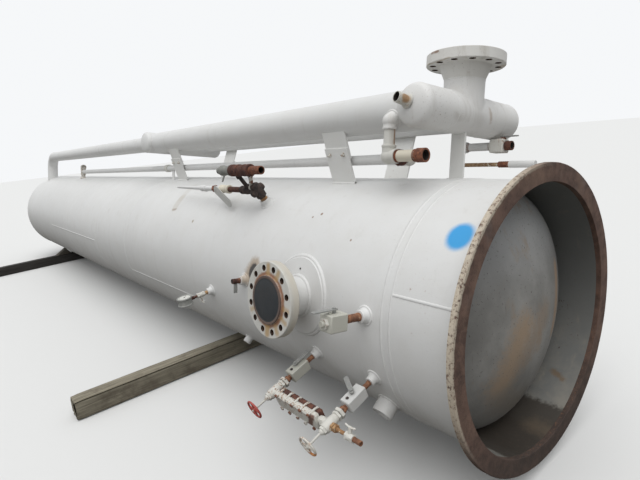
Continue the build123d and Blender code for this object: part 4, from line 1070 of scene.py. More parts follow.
class WheelTree(GeometryTree):
    """A spoked handwheel at each marked point."""

    def __init__(self) -> None:
        """Build the tree."""
        super().__init__("handwheel", {"Radius": "NodeSocketFloat", "Rim": "NodeSocketFloat",
                                       "Hub": "NodeSocketFloat", "Spokes": "NodeSocketInt"})
        rim = self.out("GeometryNodeCurvePrimitiveCircle", None,
                       {"Resolution": 40, "Radius": self.given("Radius")})
        tube = self.out("GeometryNodeCurvePrimitiveCircle", None, {"Resolution": 12, "Radius": self.given("Rim")})
        tyre = self.out("GeometryNodeCurveToMesh", None, {"Curve": rim, "Profile Curve": tube, "Scale": 1.0})
        reach = self.out("ShaderNodeCombineXYZ", None, {"X": self.given("Radius")})
        line = self.out("GeometryNodeCurvePrimitiveLine", None, {"Start": (0, 0, 0), "End": reach})
        thin = self.out("GeometryNodeCurvePrimitiveCircle", None,
                        {"Resolution": 10, "Radius": self.given("Rim") * 0.75})
        spoke = self.out("GeometryNodeCurveToMesh", None,
                         {"Curve": line, "Profile Curve": thin, "Scale": 1.0, "Fill Caps": True})
        corners = self.out("GeometryNodeMeshCircle", None, {"Vertices": self.given("Spokes"), "Radius": 1e-4})
        place = self.out("GeometryNodeInputPosition")
        turn = self.out("FunctionNodeAlignRotationToVector", {"axis": "X"}, {"Vector": place})
        spokes = self.out("GeometryNodeInstanceOnPoints", None,
                          {"Points": corners, "Instance": spoke, "Rotation": turn})
        hub = self.out("GeometryNodeMeshCylinder", None,
                       {"Vertices": 20, "Radius": self.given("Hub"), "Depth": self.given("Hub") * 1.2})
        wheel = self.add("GeometryNodeJoinGeometry")
        for part in (hub, spokes, tyre):
            self.tree.links.new(part.socket, wheel.inputs[0])
        aim = self.out("GeometryNodeInputNamedAttribute", {"data_type": "FLOAT_VECTOR"}, {"Name": "aim"})
        look = self.out("FunctionNodeAlignRotationToVector", {"axis": "Z"}, {"Vector": aim})
        self.close(self.out("GeometryNodeInstanceOnPoints", None,
                            {"Points": Signal(self, self.source.outputs[0]),
                             "Instance": Signal(self, wheel.outputs[0]), "Rotation": look}))

    def set(self, sites: Sequence[Site], finish: bpy.types.Material, radius: float, rim: float, hub: float,
            spokes: int, name: str) -> bpy.types.Mesh:
        """Set a wheel on each site.

        Args:
            sites: Where the hubs are, and where they look.
            finish: Their material.
            radius: Radius of the rim's centre line.
            rim: Radius of the rim's bar.
            hub: Radius of the hub.
            spokes: Number of spokes.
            name: Name of the mesh.

        Returns:
            The mesh.
        """
        base = bpy.data.meshes.new(name + "_places")
        base.from_pydata([s.origin for s in sites], [], [])
        aims = base.attributes.new("aim", "FLOAT_VECTOR", "POINT")
        aims.data.foreach_set("vector", [c for s in sites for c in s.z])
        return self.apply(base, {"Radius": radius, "Rim": rim, "Hub": hub, "Spokes": spokes, "Finish": finish}, name)


# Sub-assemblies


class Palette:
    """The materials of the scene, each made once."""

    def __init__(self) -> None:
        """Start with none."""
        self.made: dict[str, bpy.types.Material] = {}

    def __call__(self, finish: object) -> bpy.types.Material:
        """The material of a finish."""
        if finish.name not in self.made:
            self.made[finish.name] = finish.material()
        return self.made[finish.name]


TAN = (0.42, 0.37, 0.29)
BROWN = (0.20, 0.095, 0.045)
SPRAY = (0.019, 0.311, 0.670)

VESSEL_PAINT = Paint(
    "vessel_paint", chips=0.02, grime=0.10, splash=0.40,
    marks=(
        Mark(on_shell(3.160, 31), on_shell(3.110, 46), 0.040, 0.024, TAN, 0.20, 0.014),
        Mark(on_shell(3.110, 46), on_shell(3.092, 53.8), 0.050, 0.018, TAN, 0.32, 0.016),
        Mark(on_shell(3.050, 56.2), on_shell(3.110, 57.0), 0.010, 0.008, (0.30, 0.22, 0.17), 0.7, 0.016),
        Mark(on_shell(2.617, 63.3), on_shell(2.617, 63.4), 0.012, 0.006, (0.30, 0.23, 0.15), 0.8, 0.012),
        Mark(on_shell(1.172, 50.5), on_shell(1.172, 50.6), 0.006, 0.003, BROWN, 0.8, 0.004),
        Mark(on_shell(1.112, 48.1), on_shell(1.112, 48.2), 0.008, 0.004, BROWN, 0.9, 0.005),
        Mark(on_shell(0.771, 60.0), on_shell(0.771, 60.1), 0.006, 0.003, BROWN, 0.8, 0.004),
        Mark(on_shell(1.565, 82.5), on_shell(1.610, 88.0), 0.064, 0.024, (0.38, 0.29, 0.20), 0.80, 0.05),
        Mark(on_shell(1.570, 83.5), on_shell(1.590, 86.5), 0.036, 0.010, (0.035, 0.033, 0.032), 0.94, 0.03),
        Mark(on_shell(0.150, 51.4), on_shell(0.150, 52.8), 0.061, 0.018, SPRAY, 0.97, 0.010),
    ))
SKIRT_EDGE = Paint("skirt_paint", chips=0.14, bleed=0.6, grime=0.12, splash=0.35, marks=VESSEL_PAINT.marks[-1:])
SKIRT_INSIDE = Paint("skirt_inside_grey_and_shade", colour=(0.155, 0.158, 0.152), chips=0.30, bleed=0.3, grime=0.5,
                     splash=0.55, chip_colour=(0.05, 0.04, 0.035), rust_colour=(0.14, 0.09, 0.06), marks=(
    # The first two marks are painted shade: they darken the lower inner wall, in the gap round the dome, to near black.
    Mark(Vector((FACE_X, 0.03, 0.11)), Vector((FACE_X - 0.4, 0.03, 0.11)), 0.262, 0.022, (0.042, 0.035, 0.028), 0.96, 0.08),
    Mark(Vector((FACE_X, -0.14, 0.12)), Vector((FACE_X - 0.4, -0.14, 0.12)), 0.225, 0.022, (0.042, 0.035, 0.028), 0.96, 0.08),
    Mark(Vector((FACE_X, 0.10, 0.13)), Vector((FACE_X - 0.1, 0.10, 0.13)), 0.060, 0.050, (0.115, 0.086, 0.058), 0.7, 0.10),
    Mark(Vector((FACE_X - 0.10, 0.42, 0.31)), Vector((FACE_X - 0.16, 0.44, 0.33)), 0.016, 0.014, (0.16, 0.11, 0.065), 0.8, 0.05)))
DOME = DomeGrey(patches=(
    Mark(spot(0.06, -0.08, -0.05), spot(0.13, -0.16, -0.32), 0.085, 0.075, (0.30, 0.215, 0.14), 0.85, 0.16),
    Mark(spot(0.07, 0.12, 0.00), spot(0.10, -0.02, -0.20), 0.070, 0.060, (0.235, 0.185, 0.14), 0.75, 0.14),
    Mark(spot(0.12, 0.36, 0.22), spot(0.12, 0.34, -0.12), 0.040, 0.035, (0.31, 0.21, 0.135), 0.80, 0.08),
    Mark(spot(0.16, -0.10, -0.42), spot(0.18, 0.10, -0.50), 0.080, 0.070, (0.20, 0.165, 0.125), 0.70, 0.14),
))
PIPE_PAINT = Paint("pipe_paint", chips=0.06, grime=0.16, splash=0.0)
HEADER_PAINT = Paint("header_paint", colour=(0.72, 0.715, 0.70), chips=0.16, bleed=0.35, grime=0.30, splash=0.0)
POST_PAINT = Paint("post_paint", colour=(0.76, 0.76, 0.74), chips=0.14, bleed=0.5, grime=0.12, splash=0.0)
FITTING_PAINT = Paint("fitting_paint", colour=(0.61, 0.60, 0.555), chips=0.52, bleed=0.85, grime=0.38,
                      splash=0.1, grain=85.0, rust_colour=(0.38, 0.19, 0.08))
BLOCK_PAINT = Paint("block_paint", colour=(0.47, 0.465, 0.41), chips=0.20, bleed=0.6, grime=0.35,
                    splash=0.1, grain=120.0)
NIPPLE_RUST = Rust("nipple_rust", (0.14, 0.062, 0.036), (0.38, 0.180, 0.095), 0.30, (0.56, 0.50, 0.40))
JOINT_RUST = Rust("joint_rust", (0.11, 0.040, 0.024), (0.31, 0.120, 0.062), 0.28, (0.52, 0.45, 0.34))
IRON_RUST = Rust("iron_rust", (0.030, 0.025, 0.024), (0.085, 0.055, 0.045))
DARK_RUST = Rust("dark_rust", (0.055, 0.026, 0.022), (0.16, 0.06, 0.035))
# Rust on the walls of the bolt holes, made very dark as painted shade inside the holes.
HOLE_RUST_AND_SHADE = Rust("hole_rust_and_shade", (0.030, 0.020, 0.015), (0.115, 0.062, 0.036))
FLAKED_RUST = Rust("flaked_rust", (0.13, 0.055, 0.035), (0.30, 0.13, 0.07), 0.62, (0.56, 0.54, 0.49), 30.0)
YELLOW_BRASS = Rust("yellowed_fitting", (0.27, 0.135, 0.060), (0.50, 0.33, 0.17), 0.46, (0.62, 0.56, 0.42))
BLOCK_WHITE = Paint("white_block_paint", colour=(0.60, 0.60, 0.585), chips=0.18, bleed=0.7, grime=0.25,
                    splash=0.1, grain=120.0)
NIPPLE_CREAM = Paint("cream_nipple", colour=(0.66, 0.61, 0.50), chips=0.34, bleed=0.8, grime=0.3, splash=0.0,
                     grain=100.0)
TUBE_TAN = Rust("tan_tube", (0.20, 0.105, 0.050), (0.47, 0.33, 0.19), 0.45, (0.62, 0.57, 0.47))
# Near black: painted shade inside the bores and in the pad's hole; the vent nipple's outer threads take it too.
BORE_SHADE_BLACK = Plain("bore_shade_black", (0.022, 0.018, 0.016), dust=(0.07, 0.04, 0.025), rough=0.85)
LEVER_GREY = Plain("lever_grey", (0.29, 0.295, 0.285), dust=(0.42, 0.40, 0.36), dusty=0.4, metallic=0.3, scale=45)
PLATE_GREY = Plain("plate_grey", (0.44, 0.44, 0.42), dust=(0.55, 0.54, 0.50), dusty=0.4, rough=0.55, scale=40)
BONNET_GREY = Plain("bonnet_grey", (0.20, 0.205, 0.19), dust=(0.33, 0.32, 0.28), dusty=0.6, rough=0.7, scale=60)
COVER_EDGE = Plain("cover_edge", (0.105, 0.075, 0.066), dust=(0.16, 0.115, 0.085), dusty=0.6, rough=0.7, scale=14)
COVER_GREY = Plain("cover_grey", (0.020, 0.024, 0.028), dust=(0.065, 0.060, 0.055), dusty=0.4, rough=0.5, scale=9)
WHEEL_RED = Paint("handwheel_red", colour=(0.40, 0.075, 0.060), chips=0.45, bleed=0.8, grime=0.4, splash=0.0,
                  grain=150.0, rust_colour=(0.42, 0.20, 0.13))
WHEEL_RUST = stand_at((0.551, 118.5), 0.4755)
WHEEL_WHITE = Paint("handwheel_white", colour=(0.60, 0.58, 0.53), chips=0.62, bleed=0.95, grime=0.3,
                    splash=0.0, grain=70.0, rust_colour=(0.45, 0.20, 0.06), chip_colour=(0.22, 0.075, 0.03),
                    marks=(Mark(WHEEL_RUST.point(0.045, -0.030, 0), WHEEL_RUST.point(0.010, -0.050, 0), 0.016,
                                0.006, (0.52, 0.20, 0.045), 0.9, 0.030),))
DRUM_GREY = Plain("gauge_drum", (0.26, 0.265, 0.25), dust=(0.40, 0.39, 0.36), dusty=0.5, rough=0.55, scale=50)
DIAL_WHITE = Plain("dial_white", (0.62, 0.62, 0.58), dust=(0.35, 0.32, 0.26), dusty=0.3, rough=0.4)
DIAL_BLACK = Plain("dial_black", (0.02, 0.02, 0.02), rough=0.5)
SPRAY_DAB = Plain("blue_dab", (0.02, 0.07, 0.30), dusty=0.1, rough=0.5)
NEAR_WOOD = Wood("near_timber", (0.12, 0.105, 0.075), (0.32, 0.29, 0.22))
FAR_WOOD = Wood("far_timber", (0.018, 0.016, 0.015), (0.060, 0.055, 0.050), (0.035, 0.030, 0.026))
CHOCK_WOOD = Wood("chock_wood", (0.045, 0.040, 0.034), (0.13, 0.115, 0.095))


def welded(barrel: Barrel, site: Site, radius: float, bead: float, steps: int = 40, sink: float = 0.55) -> Bead:
    """A bead where a round bar meets a round body.

    Args:
        barrel: The body.
        site: A site on the bar's axis that looks along it, out of the body.
        radius: Radius of the bar.
        bead: Radius of the bead.
        steps: Points round the bar.
        sink: Share of the bead's radius that lies below the skin.

    Returns:
        The bead.
    """
    path = []
    for i in range(steps):
        angle = tau * i / steps
        rim = site.point(radius * cos(angle), radius * sin(angle), 0)
        at = barrel.meet(rim, site.z)
        axis_point = barrel.origin + barrel.axis * (at - barrel.origin).dot(barrel.axis)
        path.append(at + (axis_point - at).normalized() * bead * sink)
    return Bead(path, bead, True)


def hooped(site: Site, radius: float, bead: float, steps: int = 96, sink: float = 0.6) -> Bead:
    """A girth bead round a round body."""
    reach = radius - bead * sink
    return Bead(arc(site.origin, site.x * reach, site.y * reach, 0, 360 * (1 - 1 / steps), steps - 1), bead, True)


def bent_disc(form: Form, place: tuple[float, float], profile: Sequence[tuple[float, float]],
              segments: int = 72, wrap: bool = True) -> Form:
    """Add a ring or disc that follows the curve of the shell.

    Args:
        form: The piece in the making.
        place: Station and azimuth of its middle.
        profile: Distance from the middle and height above the shell of each corner.
        segments: Faces round it.
        wrap: Whether the profile is closed.

    Returns:
        The form.
    """
    axis = stand_at(place, -SHELL)
    rings = []
    for radius, height in profile:
        ring = []
        for i in range(segments):
            x, y = radius * cos(tau * i / segments), radius * sin(tau * i / segments)
            ring.append(axis.point(x, y, sqrt((SHELL + height) ** 2 - y * y)))
        rings.append(ring)
    return form.skin(rings, wrap)


@dataclass
class Vessel:
    """Shell, heads, skirt and base ring, with their weld beads."""

    palette: Palette
    beads: BeadTree
    sides: int = 180
    row: float = 0.25
    ring_radius: float = 0.768
    ring_thickness: float = 0.028
    skirt_wall: float = 0.010
    girth_stations: tuple[float, ...] = (WELD_STATION, 4.100, 5.200, TOP_TANGENT)
    seams: tuple[tuple[float, float, float], ...] = (
        (7.650, 5.230, 100.0), (4.220, 5.170, 292.0), (4.070, 2.380, 117.0), (2.350, 0.470, 236.0),
        (0.395, 0.040, 79.0))

    def head(self, inner: float, steps: int = 22) -> list[tuple[float, float]]:
        """Profile of a head, from its tangent line to its apex, inset by a wall."""
        return dished(SHELL, SHELL / 2, steps, inner)

    def shell(self) -> None:
        """Make the shell with its domed top head."""
        rows = [WELD_STATION + i * self.row for i in range(ceil((TOP_TANGENT - WELD_STATION) / self.row))]
        outer = [(r, TOP_TANGENT + h) for r, h in self.head(0)]
        inner = [(r, TOP_TANGENT + h) for r, h in self.head(WALL)]
        profile = outer[::-1] + [(SHELL, s) for s in rows[::-1]]
        profile += [(SHELL - WALL, WELD_STATION)] + inner
        form = Form().lathe(face_at(0, 0, 0, BACK, UP), profile, self.sides)
        put("vessel_shell", form.mesh_data("vessel_shell"), [self.palette(VESSEL_PAINT)], Slot.VESSEL,
            ("shell", "top_head"))

    def lower_head(self) -> None:
        """Make the dished head that shows inside the skirt."""
        flange = BOTTOM_TANGENT - WELD_STATION
        profile = self.head(0)[::-1] + [(SHELL, flange), (SHELL - WALL, flange)] + self.head(WALL)
        form = Form().lathe(face_at(BOTTOM_TANGENT, 0, 0, ALONG, UP), profile, self.sides)
        data = form.mesh_data("dished_lower_head")
        band = [self.palette(DOME), self.palette(VESSEL_PAINT)]
        piece = put("dished_lower_head", data, band, Slot.DOME, ("bottom_head",))
        edge = FACE_X - BOTTOM_TANGENT
        for polygon in piece.data.polygons:
            polygon.material_index = 1 if polygon.center.x < edge + 0.001 else 0

    def skirt(self) -> None:
        """Make the skirt, painted outside and grey within."""
        inner = SHELL - self.skirt_wall
        seat = 0.332
        profile = [(SHELL, self.ring_thickness), (SHELL, 0.12), (SHELL, 0.26), (SHELL, BOTTOM_TANGENT),
                   (inner, seat), (inner, 0.2), (inner, 0.1), (inner, self.ring_thickness)]
        form = Form().lathe(face_at(0, 0, 0, BACK, UP), profile, self.sides, True)
        data = form.mesh_data("skirt_tube")
        piece = put("skirt_tube", data, [self.palette(SKIRT_EDGE), self.palette(SKIRT_INSIDE)], Slot.VESSEL,
                    ("skirt",))
        axis = spot(0, 0, 0)
        for polygon in piece.data.polygons:
            away = sqrt((polygon.center.y - axis.y) ** 2 + (polygon.center.z - axis.z) ** 2)
            polygon.material_index = 1 if away < SHELL - self.skirt_wall / 2 else 0

    def base_ring(self) -> None:
        """Make the base ring, its outer edge as uneven as a torch leaves it."""
        chance = Random(5)
        waves = [(chance.randint(2, 60), chance.uniform(0, tau), chance.uniform(0.2, 1.0)) for _ in range(14)]
        site = face_at(0, 0, 0, BACK, UP)
        inner, outer, thick = SHELL - self.skirt_wall, self.ring_radius, self.ring_thickness
        profile = [(inner, 0.002), (inner + 0.002, 0), (0.70, 0), (0.73, 0), (outer - 0.014, 0), (outer - 0.003, 0),
                   (outer, 0.003), (outer, thick / 2), (outer, thick - 0.002), (outer - 0.003, thick),
                   (0.72, thick), (inner, thick)]
        sides = 288
        rings = []
        for radius, height in profile:
            ring = []
            for i in range(sides):
                angle = tau * i / sides
                wave = sum(size * sin(count * angle + phase) for count, phase, size in waves) / 14
                reach = radius + (wave * 0.0022 - 0.001 if radius > outer - 0.005 else 0.0)
                ring.append(site.point(reach * cos(angle), reach * sin(angle), height))
            rings.append(ring)
        form = Form().skin(rings, True)
        put("base_ring_plate", form.mesh_data("base_ring_plate"), [self.palette(RingPlate())], Slot.RING,
            ("base_ring",))

    def welds(self) -> None:
        """Lay the girth and long seams and the fillet behind the base ring."""
        laid = [hooped(face_at(s, 0, 0, BACK, UP), SHELL, 0.011, 160, 0.76) for s in self.girth_stations]
        laid.append(hooped(face_at(self.ring_thickness + 0.001, 0, 0, BACK, UP), SHELL, 0.009, 160, -0.2))
        laid.append(hooped(face_at(BOTTOM_TANGENT, 0, 0, BACK, UP), SHELL, 0.008, 160, 0.7))
        for start, end, azimuth in self.seams:
            laid.append(Bead([on_shell(start, azimuth, -0.0075), on_shell(end, azimuth, -0.0075)], 0.0105))
        data = self.beads.lay(laid, self.palette(VESSEL_PAINT), "vessel_seams", 0.011, 8)
        put("vessel_seams", data, [self.palette(VESSEL_PAINT)], Slot.VESSEL)

    def build(self) -> None:
        """Make every piece of the vessel."""
        self.shell()
        self.lower_head()
        self.skirt()
        self.base_ring()
        self.welds()


@dataclass
class WeldNeck:
    """An eight inch weld-neck flange with drilled bolt holes."""

    radius: float = 0.2095
    thickness: float = 0.0556
    raised: float = 0.135
    step: float = 0.0064
    hub: float = 0.1365
    hub_length: float = 0.0778
    pipe: float = 0.1095
    bore: float = 0.0968
    circle: float = 0.1746
    hole: float = 0.0159
    count: int = 12

    def mesh(self, site: Site, name: str) -> bpy.types.Mesh:
        """Make the flange.

        Args:
            site: A site on the flange's back face that looks out of its mouth.
            name: Name of the mesh.

        Returns:
            The drilled mesh.
        """
        t, c, n = self.thickness, 0.003, self.hub_length
        profile = [(self.bore, -n), (self.pipe - 0.001, -n), (self.pipe, -n + 0.001), (self.pipe + 0.001, -n * 0.9),
                   (self.hub - 0.002, -0.014), (self.hub, -0.007), (self.hub + 0.003, -0.002),
                   (self.hub + 0.008, 0), (self.radius - c, 0), (self.radius, c), (self.radius, t - c),
                   (self.radius - c, t), (self.raised + 0.0015, t), (self.raised, t + 0.0015),
                   (self.raised - 0.001, t + self.step), (self.bore + 0.002, t + self.step),
                   (self.bore, t + self.step - 0.002)]
        body = Form().lathe(site, profile, 96, True).mesh_data(name + "_blank")
        cutter = Form()
        # The hole walls take the second finish: dark rust with painted shade.
        cutter.coat = 1
        for i in range(self.count):
            angle = radians(180 / self.count) + tau * i / self.count
            at = site.offset(0, self.circle * cos(angle), self.circle * sin(angle))
            wide = self.hole + 0.0035
            cutter.lathe(at, [(wide, -0.002), (self.hole, 0.0015), (self.hole, t - 0.0015), (wide, t + 0.002)], 28)
        return carved(body, cutter.mesh_data(name + "_holes"), name)


def carved(body: bpy.types.Mesh, cutter: bpy.types.Mesh, name: str) -> bpy.types.Mesh:
    """Cut one mesh out of another.

    Args:
        body: The mesh to cut.
        cutter: What is taken out.
        name: Name of the new mesh.

    Returns:
        The cut mesh.
    """
    pair = [bpy.data.objects.new(name + end, data) for end, data in (("_body", body), ("_cutter", cutter))]
    for made in pair:
        bpy.context.scene.collection.objects.link(made)
        for _ in range(2):
            made.data.materials.append(None)
    modifier = pair[0].modifiers.new("cut", "BOOLEAN")
    modifier.operation = "DIFFERENCE"
    modifier.solver = "EXACT"
    modifier.object = pair[1]
    bpy.context.view_layer.update()
    data = bpy.data.meshes.new_from_object(pair[0].evaluated_get(bpy.context.evaluated_depsgraph_get()))
    for made in pair:
        bpy.data.objects.remove(made)
    data.name = name
    data.set_sharp_from_angle(angle=radians(32))
    return data


@dataclass
class InletNozzle:
    """Inlet nozzle: flange, neck, reinforcing pad and the disc over its mouth."""

    palette: Palette
    beads: BeadTree
    place: tuple[float, float] = (1.076, 90.0)
    standoff: float = 0.901
    pad_radius: float = 0.219
    pad_thickness: float = 0.016
    cover_radius: float = 0.132

    def build(self) -> None:
        """Make every piece of the nozzle."""
        neck = WeldNeck()
        back = self.standoff - neck.thickness - SHELL
        face = stand_at(self.place, self.standoff - SHELL)
        rust = [Mark(face.origin, face.origin, 0.011, 0.008, (0.27, 0.125, 0.065), 0.95, 0.020, 0.141)]
        for angle, size, strength in ((91, 0.018, 0.8), (60, 0.016, 0.75), (270, 0.022, 0.8), (300, 0.016, 0.7),
                                      (352, 0.013, 0.65), (208, 0.012, 0.6), (330, 0.014, 0.7)):
            near = face.offset(0, 0.15 * cos(radians(angle)), 0.15 * sin(radians(angle))).origin
            far = face.offset(0, 0.185 * cos(radians(angle)), 0.185 * sin(radians(angle))).origin
            rust.append(Mark(near, far, size, 0.012, (0.42, 0.27, 0.11), strength, 0.02))
        ahead = face.offset(0.10).origin
        rust.append(Mark(ahead, ahead, 0.0015, 0.002, (0.30, 0.19, 0.09), 0.8, 0.006, 0.2605))
        rust.append(Mark(ahead, ahead, 0.012, 0.010, (0.50, 0.44, 0.34), 0.5, 0.020, 0.250))
        paint = Paint("inlet_flange_paint", colour=(0.58, 0.575, 0.54), chips=0.14, bleed=0.6, grime=0.35,
                      splash=0.0, grain=90.0, marks=tuple(rust))
        white = self.palette(paint)
        data = neck.mesh(stand_at(self.place, back), "inlet_flange")
        put("inlet_flange", data, [white, self.palette(HOLE_RUST_AND_SHADE)], Slot.FLANGE, ("inlet_nozzle",))
        start, end = -neck.pipe, back - neck.hub_length
        pipe = Form().lathe(stand_at(self.place, start), [(neck.bore, 0), (neck.pipe, 0), (neck.pipe, end - start),
                                                          (neck.bore, end - start)], 64, True)
        put("inlet_neck", pipe.mesh_data("inlet_neck"), [self.palette(PIPE_PAINT)], Slot.FLANGE)
        thick, wide = self.pad_thickness, self.pad_radius
        pad = bent_disc(Form(), self.place, [(neck.pipe, 0), (neck.pipe, thick), (wide - 0.004, thick),
                                             (wide, thick - 0.004), (wide, 0)], 96)
        hole = stand_at((self.place[0] + 0.003, 77.4), thick - 0.0006)
        # A thin near-black disc stands for a hole in the pad: painted shade.
        pad.coat = 1
        pad.rod(hole, 0.006, 0.0012, 0.0004, 16)
        put("nozzle_pad_plate", pad.mesh_data("nozzle_pad_plate"),
            [self.palette(VESSEL_PAINT), self.palette(BORE_SHADE_BLACK)], Slot.VESSEL, ("nozzle_pad",))
        cover = Form()
        cover.inside = 1
        cover.lathe(stand_at(self.place, self.standoff + neck.step - SHELL), [
            (self.cover_radius - 0.001, 0), (self.cover_radius, 0.001), (self.cover_radius, 0.006),
            (self.cover_radius - 0.002, 0.0078), (self.cover_radius - 0.010, 0.0076),
            (self.cover_radius - 0.014, 0.0060), (self.cover_radius - 0.020, 0.0055),
            (self.cover_radius - 0.024, 0.0066), (0.06, 0.0060), (0, 0.0056)], 96, hollow=5)
        put("nozzle_cover_disc", cover.mesh_data("nozzle_cover_disc"),
            [self.palette(COVER_EDGE), self.palette(COVER_GREY)], Slot.COVER, ("nozzle_cover",))
        axis = stand_at(self.place, -SHELL)
        pad_skin = Barrel(SHELL_BARREL.origin, SHELL_BARREL.axis, SHELL + thick)
        laid = [welded(SHELL_BARREL, axis, wide + 0.004, 0.012, 90, 0.15),
                welded(pad_skin, axis, neck.pipe + 0.003, 0.011, 60, 0.1),
                hooped(stand_at(self.place, end), neck.pipe, 0.006, 60, 0.5)]
        data = self.beads.lay(laid, self.palette(VESSEL_PAINT), "nozzle_welds", 0.006, 8)
        put("nozzle_welds", data, [self.palette(VESSEL_PAINT)], Slot.VESSEL)


@dataclass
class Exchanger:
    """The two headers, the outlet flange, the pipes between them and the gas line to the domed end."""

    palette: Palette
    beads: BeadTree
    outlet: float = 0.545
    back: float = 4.200
    up: float = 1.037
    side: float = 0.285
    half: float = 0.400
    reach: float = 0.178
    run: float = 0.1095
    far_pipe: float = 0.0572
    gas_pipe: float = 0.0841
    leg: float = 9.500
    elbow: float = 0.229
    crotch: float = 0.050

    def header(self, form: Form, station: float) -> None:
        """Add a capped run across the vessel."""
        cap = [(r, self.half + h) for r, h in dished(self.run, self.run / 2, 10)]
        rows = [(self.run, x) for x in (0.3, 0.1, -0.1, -0.3)]
        profile = cap[::-1] + rows + [(r, -h) for r, h in cap]
        form.lathe(face_at(station, 0, self.up, FAR, UP), profile, 72)

    def tee(self, form: Form) -> None:
        """Add the outlet header's branch, its crotch drawn smoothly out of the run."""
        site = face_at(self.outlet, 0, self.up, UP, ALONG)
        sides, steps = 96, 8
        rings = []
        levels = [("inside", 0.0)] + [("bend", i / steps) for i in range(steps + 1)] + [("top", 1.0)]
        for kind, share in levels:
            ring = []
            for i in range(sides):
                angle = tau * i / sides
                x, y = self.run * cos(angle), sin(angle)
                seat = self.run * abs(sin(angle))
                grow = self.crotch * abs(sin(angle)) ** 0.7
                foot = (self.run + self.crotch) * y
                wall = self.run * y
                if kind == "inside":
                    point = (x * 0.9, wall * 0.9, seat - 0.02)
                elif kind == "top":
                    point = (x, wall, self.reach)
                else:
                    a, b, c = (1 - share) ** 2, 2 * share * (1 - share), share ** 2
                    point = (x, a * foot + b * wall + c * wall, seat + c * grow)
                ring.append(site.point(*point))
            rings.append(ring)
        form.skin(rings)

    def build(self) -> None:
        """Make every piece of the exchanger."""
        outlet = Form()
        self.header(outlet, self.outlet)
        self.tee(outlet)
        stain = (0.33, 0.30, 0.26)
        around = face_at(self.outlet, 0, self.up, UP, ALONG)
        marks = [Mark(around.point(-0.05, -0.19, 0.02), around.point(-0.11, -0.18, -0.06), 0.010, 0.014, stain, 0.5, 0.03),
                 Mark(around.point(0.02, -0.10, 0.10), around.point(0.10, 0.02, -0.04), 0.030, 0.04, stain, 0.25, 0.06),
                 Mark(around.point(0.10, -0.21, -0.03), around.point(0.11, -0.14, -0.06), 0.012, 0.02, stain, 0.30, 0.05),
                 Mark(around.point(0.11, 0.10, 0.03), around.point(0.11, 0.12, -0.04), 0.010, 0.012, (0.36, 0.27, 0.20), 0.6, 0.03)]
        paint = Paint("outlet_header_paint", colour=(0.71, 0.705, 0.69), chips=0.24, bleed=0.30, grime=0.34, grain=95.0,
                      splash=0.0, marks=tuple(marks))
        put("outlet_header_run", outlet.mesh_data("outlet_header_run"), [self.palette(paint)], Slot.PIPE,
            ("outlet_header",))
        neck = WeldNeck()
        seat = face_at(self.outlet, 0, self.up + self.reach + neck.hub_length, UP)
        rim = seat.offset(neck.thickness * 0.5)
        rust = [Mark(rim.point(0.09, 0.20, 0.01), rim.point(0.17, 0.12, 0.0), 0.030, 0.020, (0.36, 0.27, 0.14), 0.75, 0.04),
                Mark(rim.point(-0.08, -0.19, 0.02), rim.point(-0.03, -0.21, 0.018), 0.006, 0.005, BROWN, 0.85, 0.012),
                Mark(rim.point(-0.13, -0.17, -0.028), rim.point(0.05, -0.21, -0.028), 0.005, 0.005, (0.33, 0.23, 0.12), 0.6, 0.012),
                Mark(rim.point(-0.11, -0.06, -0.06), rim.point(-0.13, -0.03, -0.11), 0.018, 0.018, (0.46, 0.36, 0.22), 0.6, 0.03),
                Mark(rim.point(0.09, -0.09, -0.09), rim.point(0.10, -0.09, -0.11), 0.010, 0.008, BROWN, 0.8, 0.02)]
        paint = Paint("outlet_flange_paint", colour=(0.68, 0.67, 0.64), chips=0.22, bleed=0.55, grime=0.35,
                      splash=0.0, grain=75.0, marks=tuple(rust))
        put("outlet_flange_neck", neck.mesh(seat, "outlet_flange_neck"), [self.palette(paint), self.palette(HOLE_RUST_AND_SHADE)],
            Slot.FLANGE, ("outlet_flange",))
        back = Form()
        self.header(back, self.back)
        put("return_header_run", back.mesh_data("return_header_run"), [self.palette(PIPE_PAINT)], Slot.PIPE,
            ("return_header",))
        length = self.back - self.outlet
        for name, side, radius, node in (("near_pipe", -self.side, self.run - 0.0003, "exchanger_pipe"),
                                         ("far_pipe", self.side, self.far_pipe, "bypass_pipe")):
            start = face_at(self.outlet, side, self.up, BACK, UP)
            rows = [(radius, length * i / 12) for i in range(13)]
            put(name, Form().lathe(start, rows, 64).mesh_data(name), [self.palette(PIPE_PAINT)], Slot.PIPE, (node,))
        put("gas_pipe", self.gas_line().mesh_data("gas_pipe"), [self.palette(PIPE_PAINT)], Slot.PIPE, ("gas_line",))
        put("header_welds", self.welds(), [self.palette(HEADER_PAINT)], Slot.PIPE)

    def gas_line(self) -> Form:
        """The pipe back to the elbow and down into the shell."""
        bend = self.leg - self.elbow
        middle = spot(bend, -self.side, self.up - self.elbow)
        path = [spot(self.back + 0.05 + (bend - self.back - 0.05) * i / 16, -self.side, self.up) for i in range(16)]
        path += arc(middle, turned(UP) * self.elbow, turned(BACK) * self.elbow, 0, 90, 14)
        path += [spot(self.leg, -self.side, self.up - self.elbow - 0.10), spot(self.leg, -self.side, 0.60)]
        return Form().sweep(path, self.gas_pipe, 48)

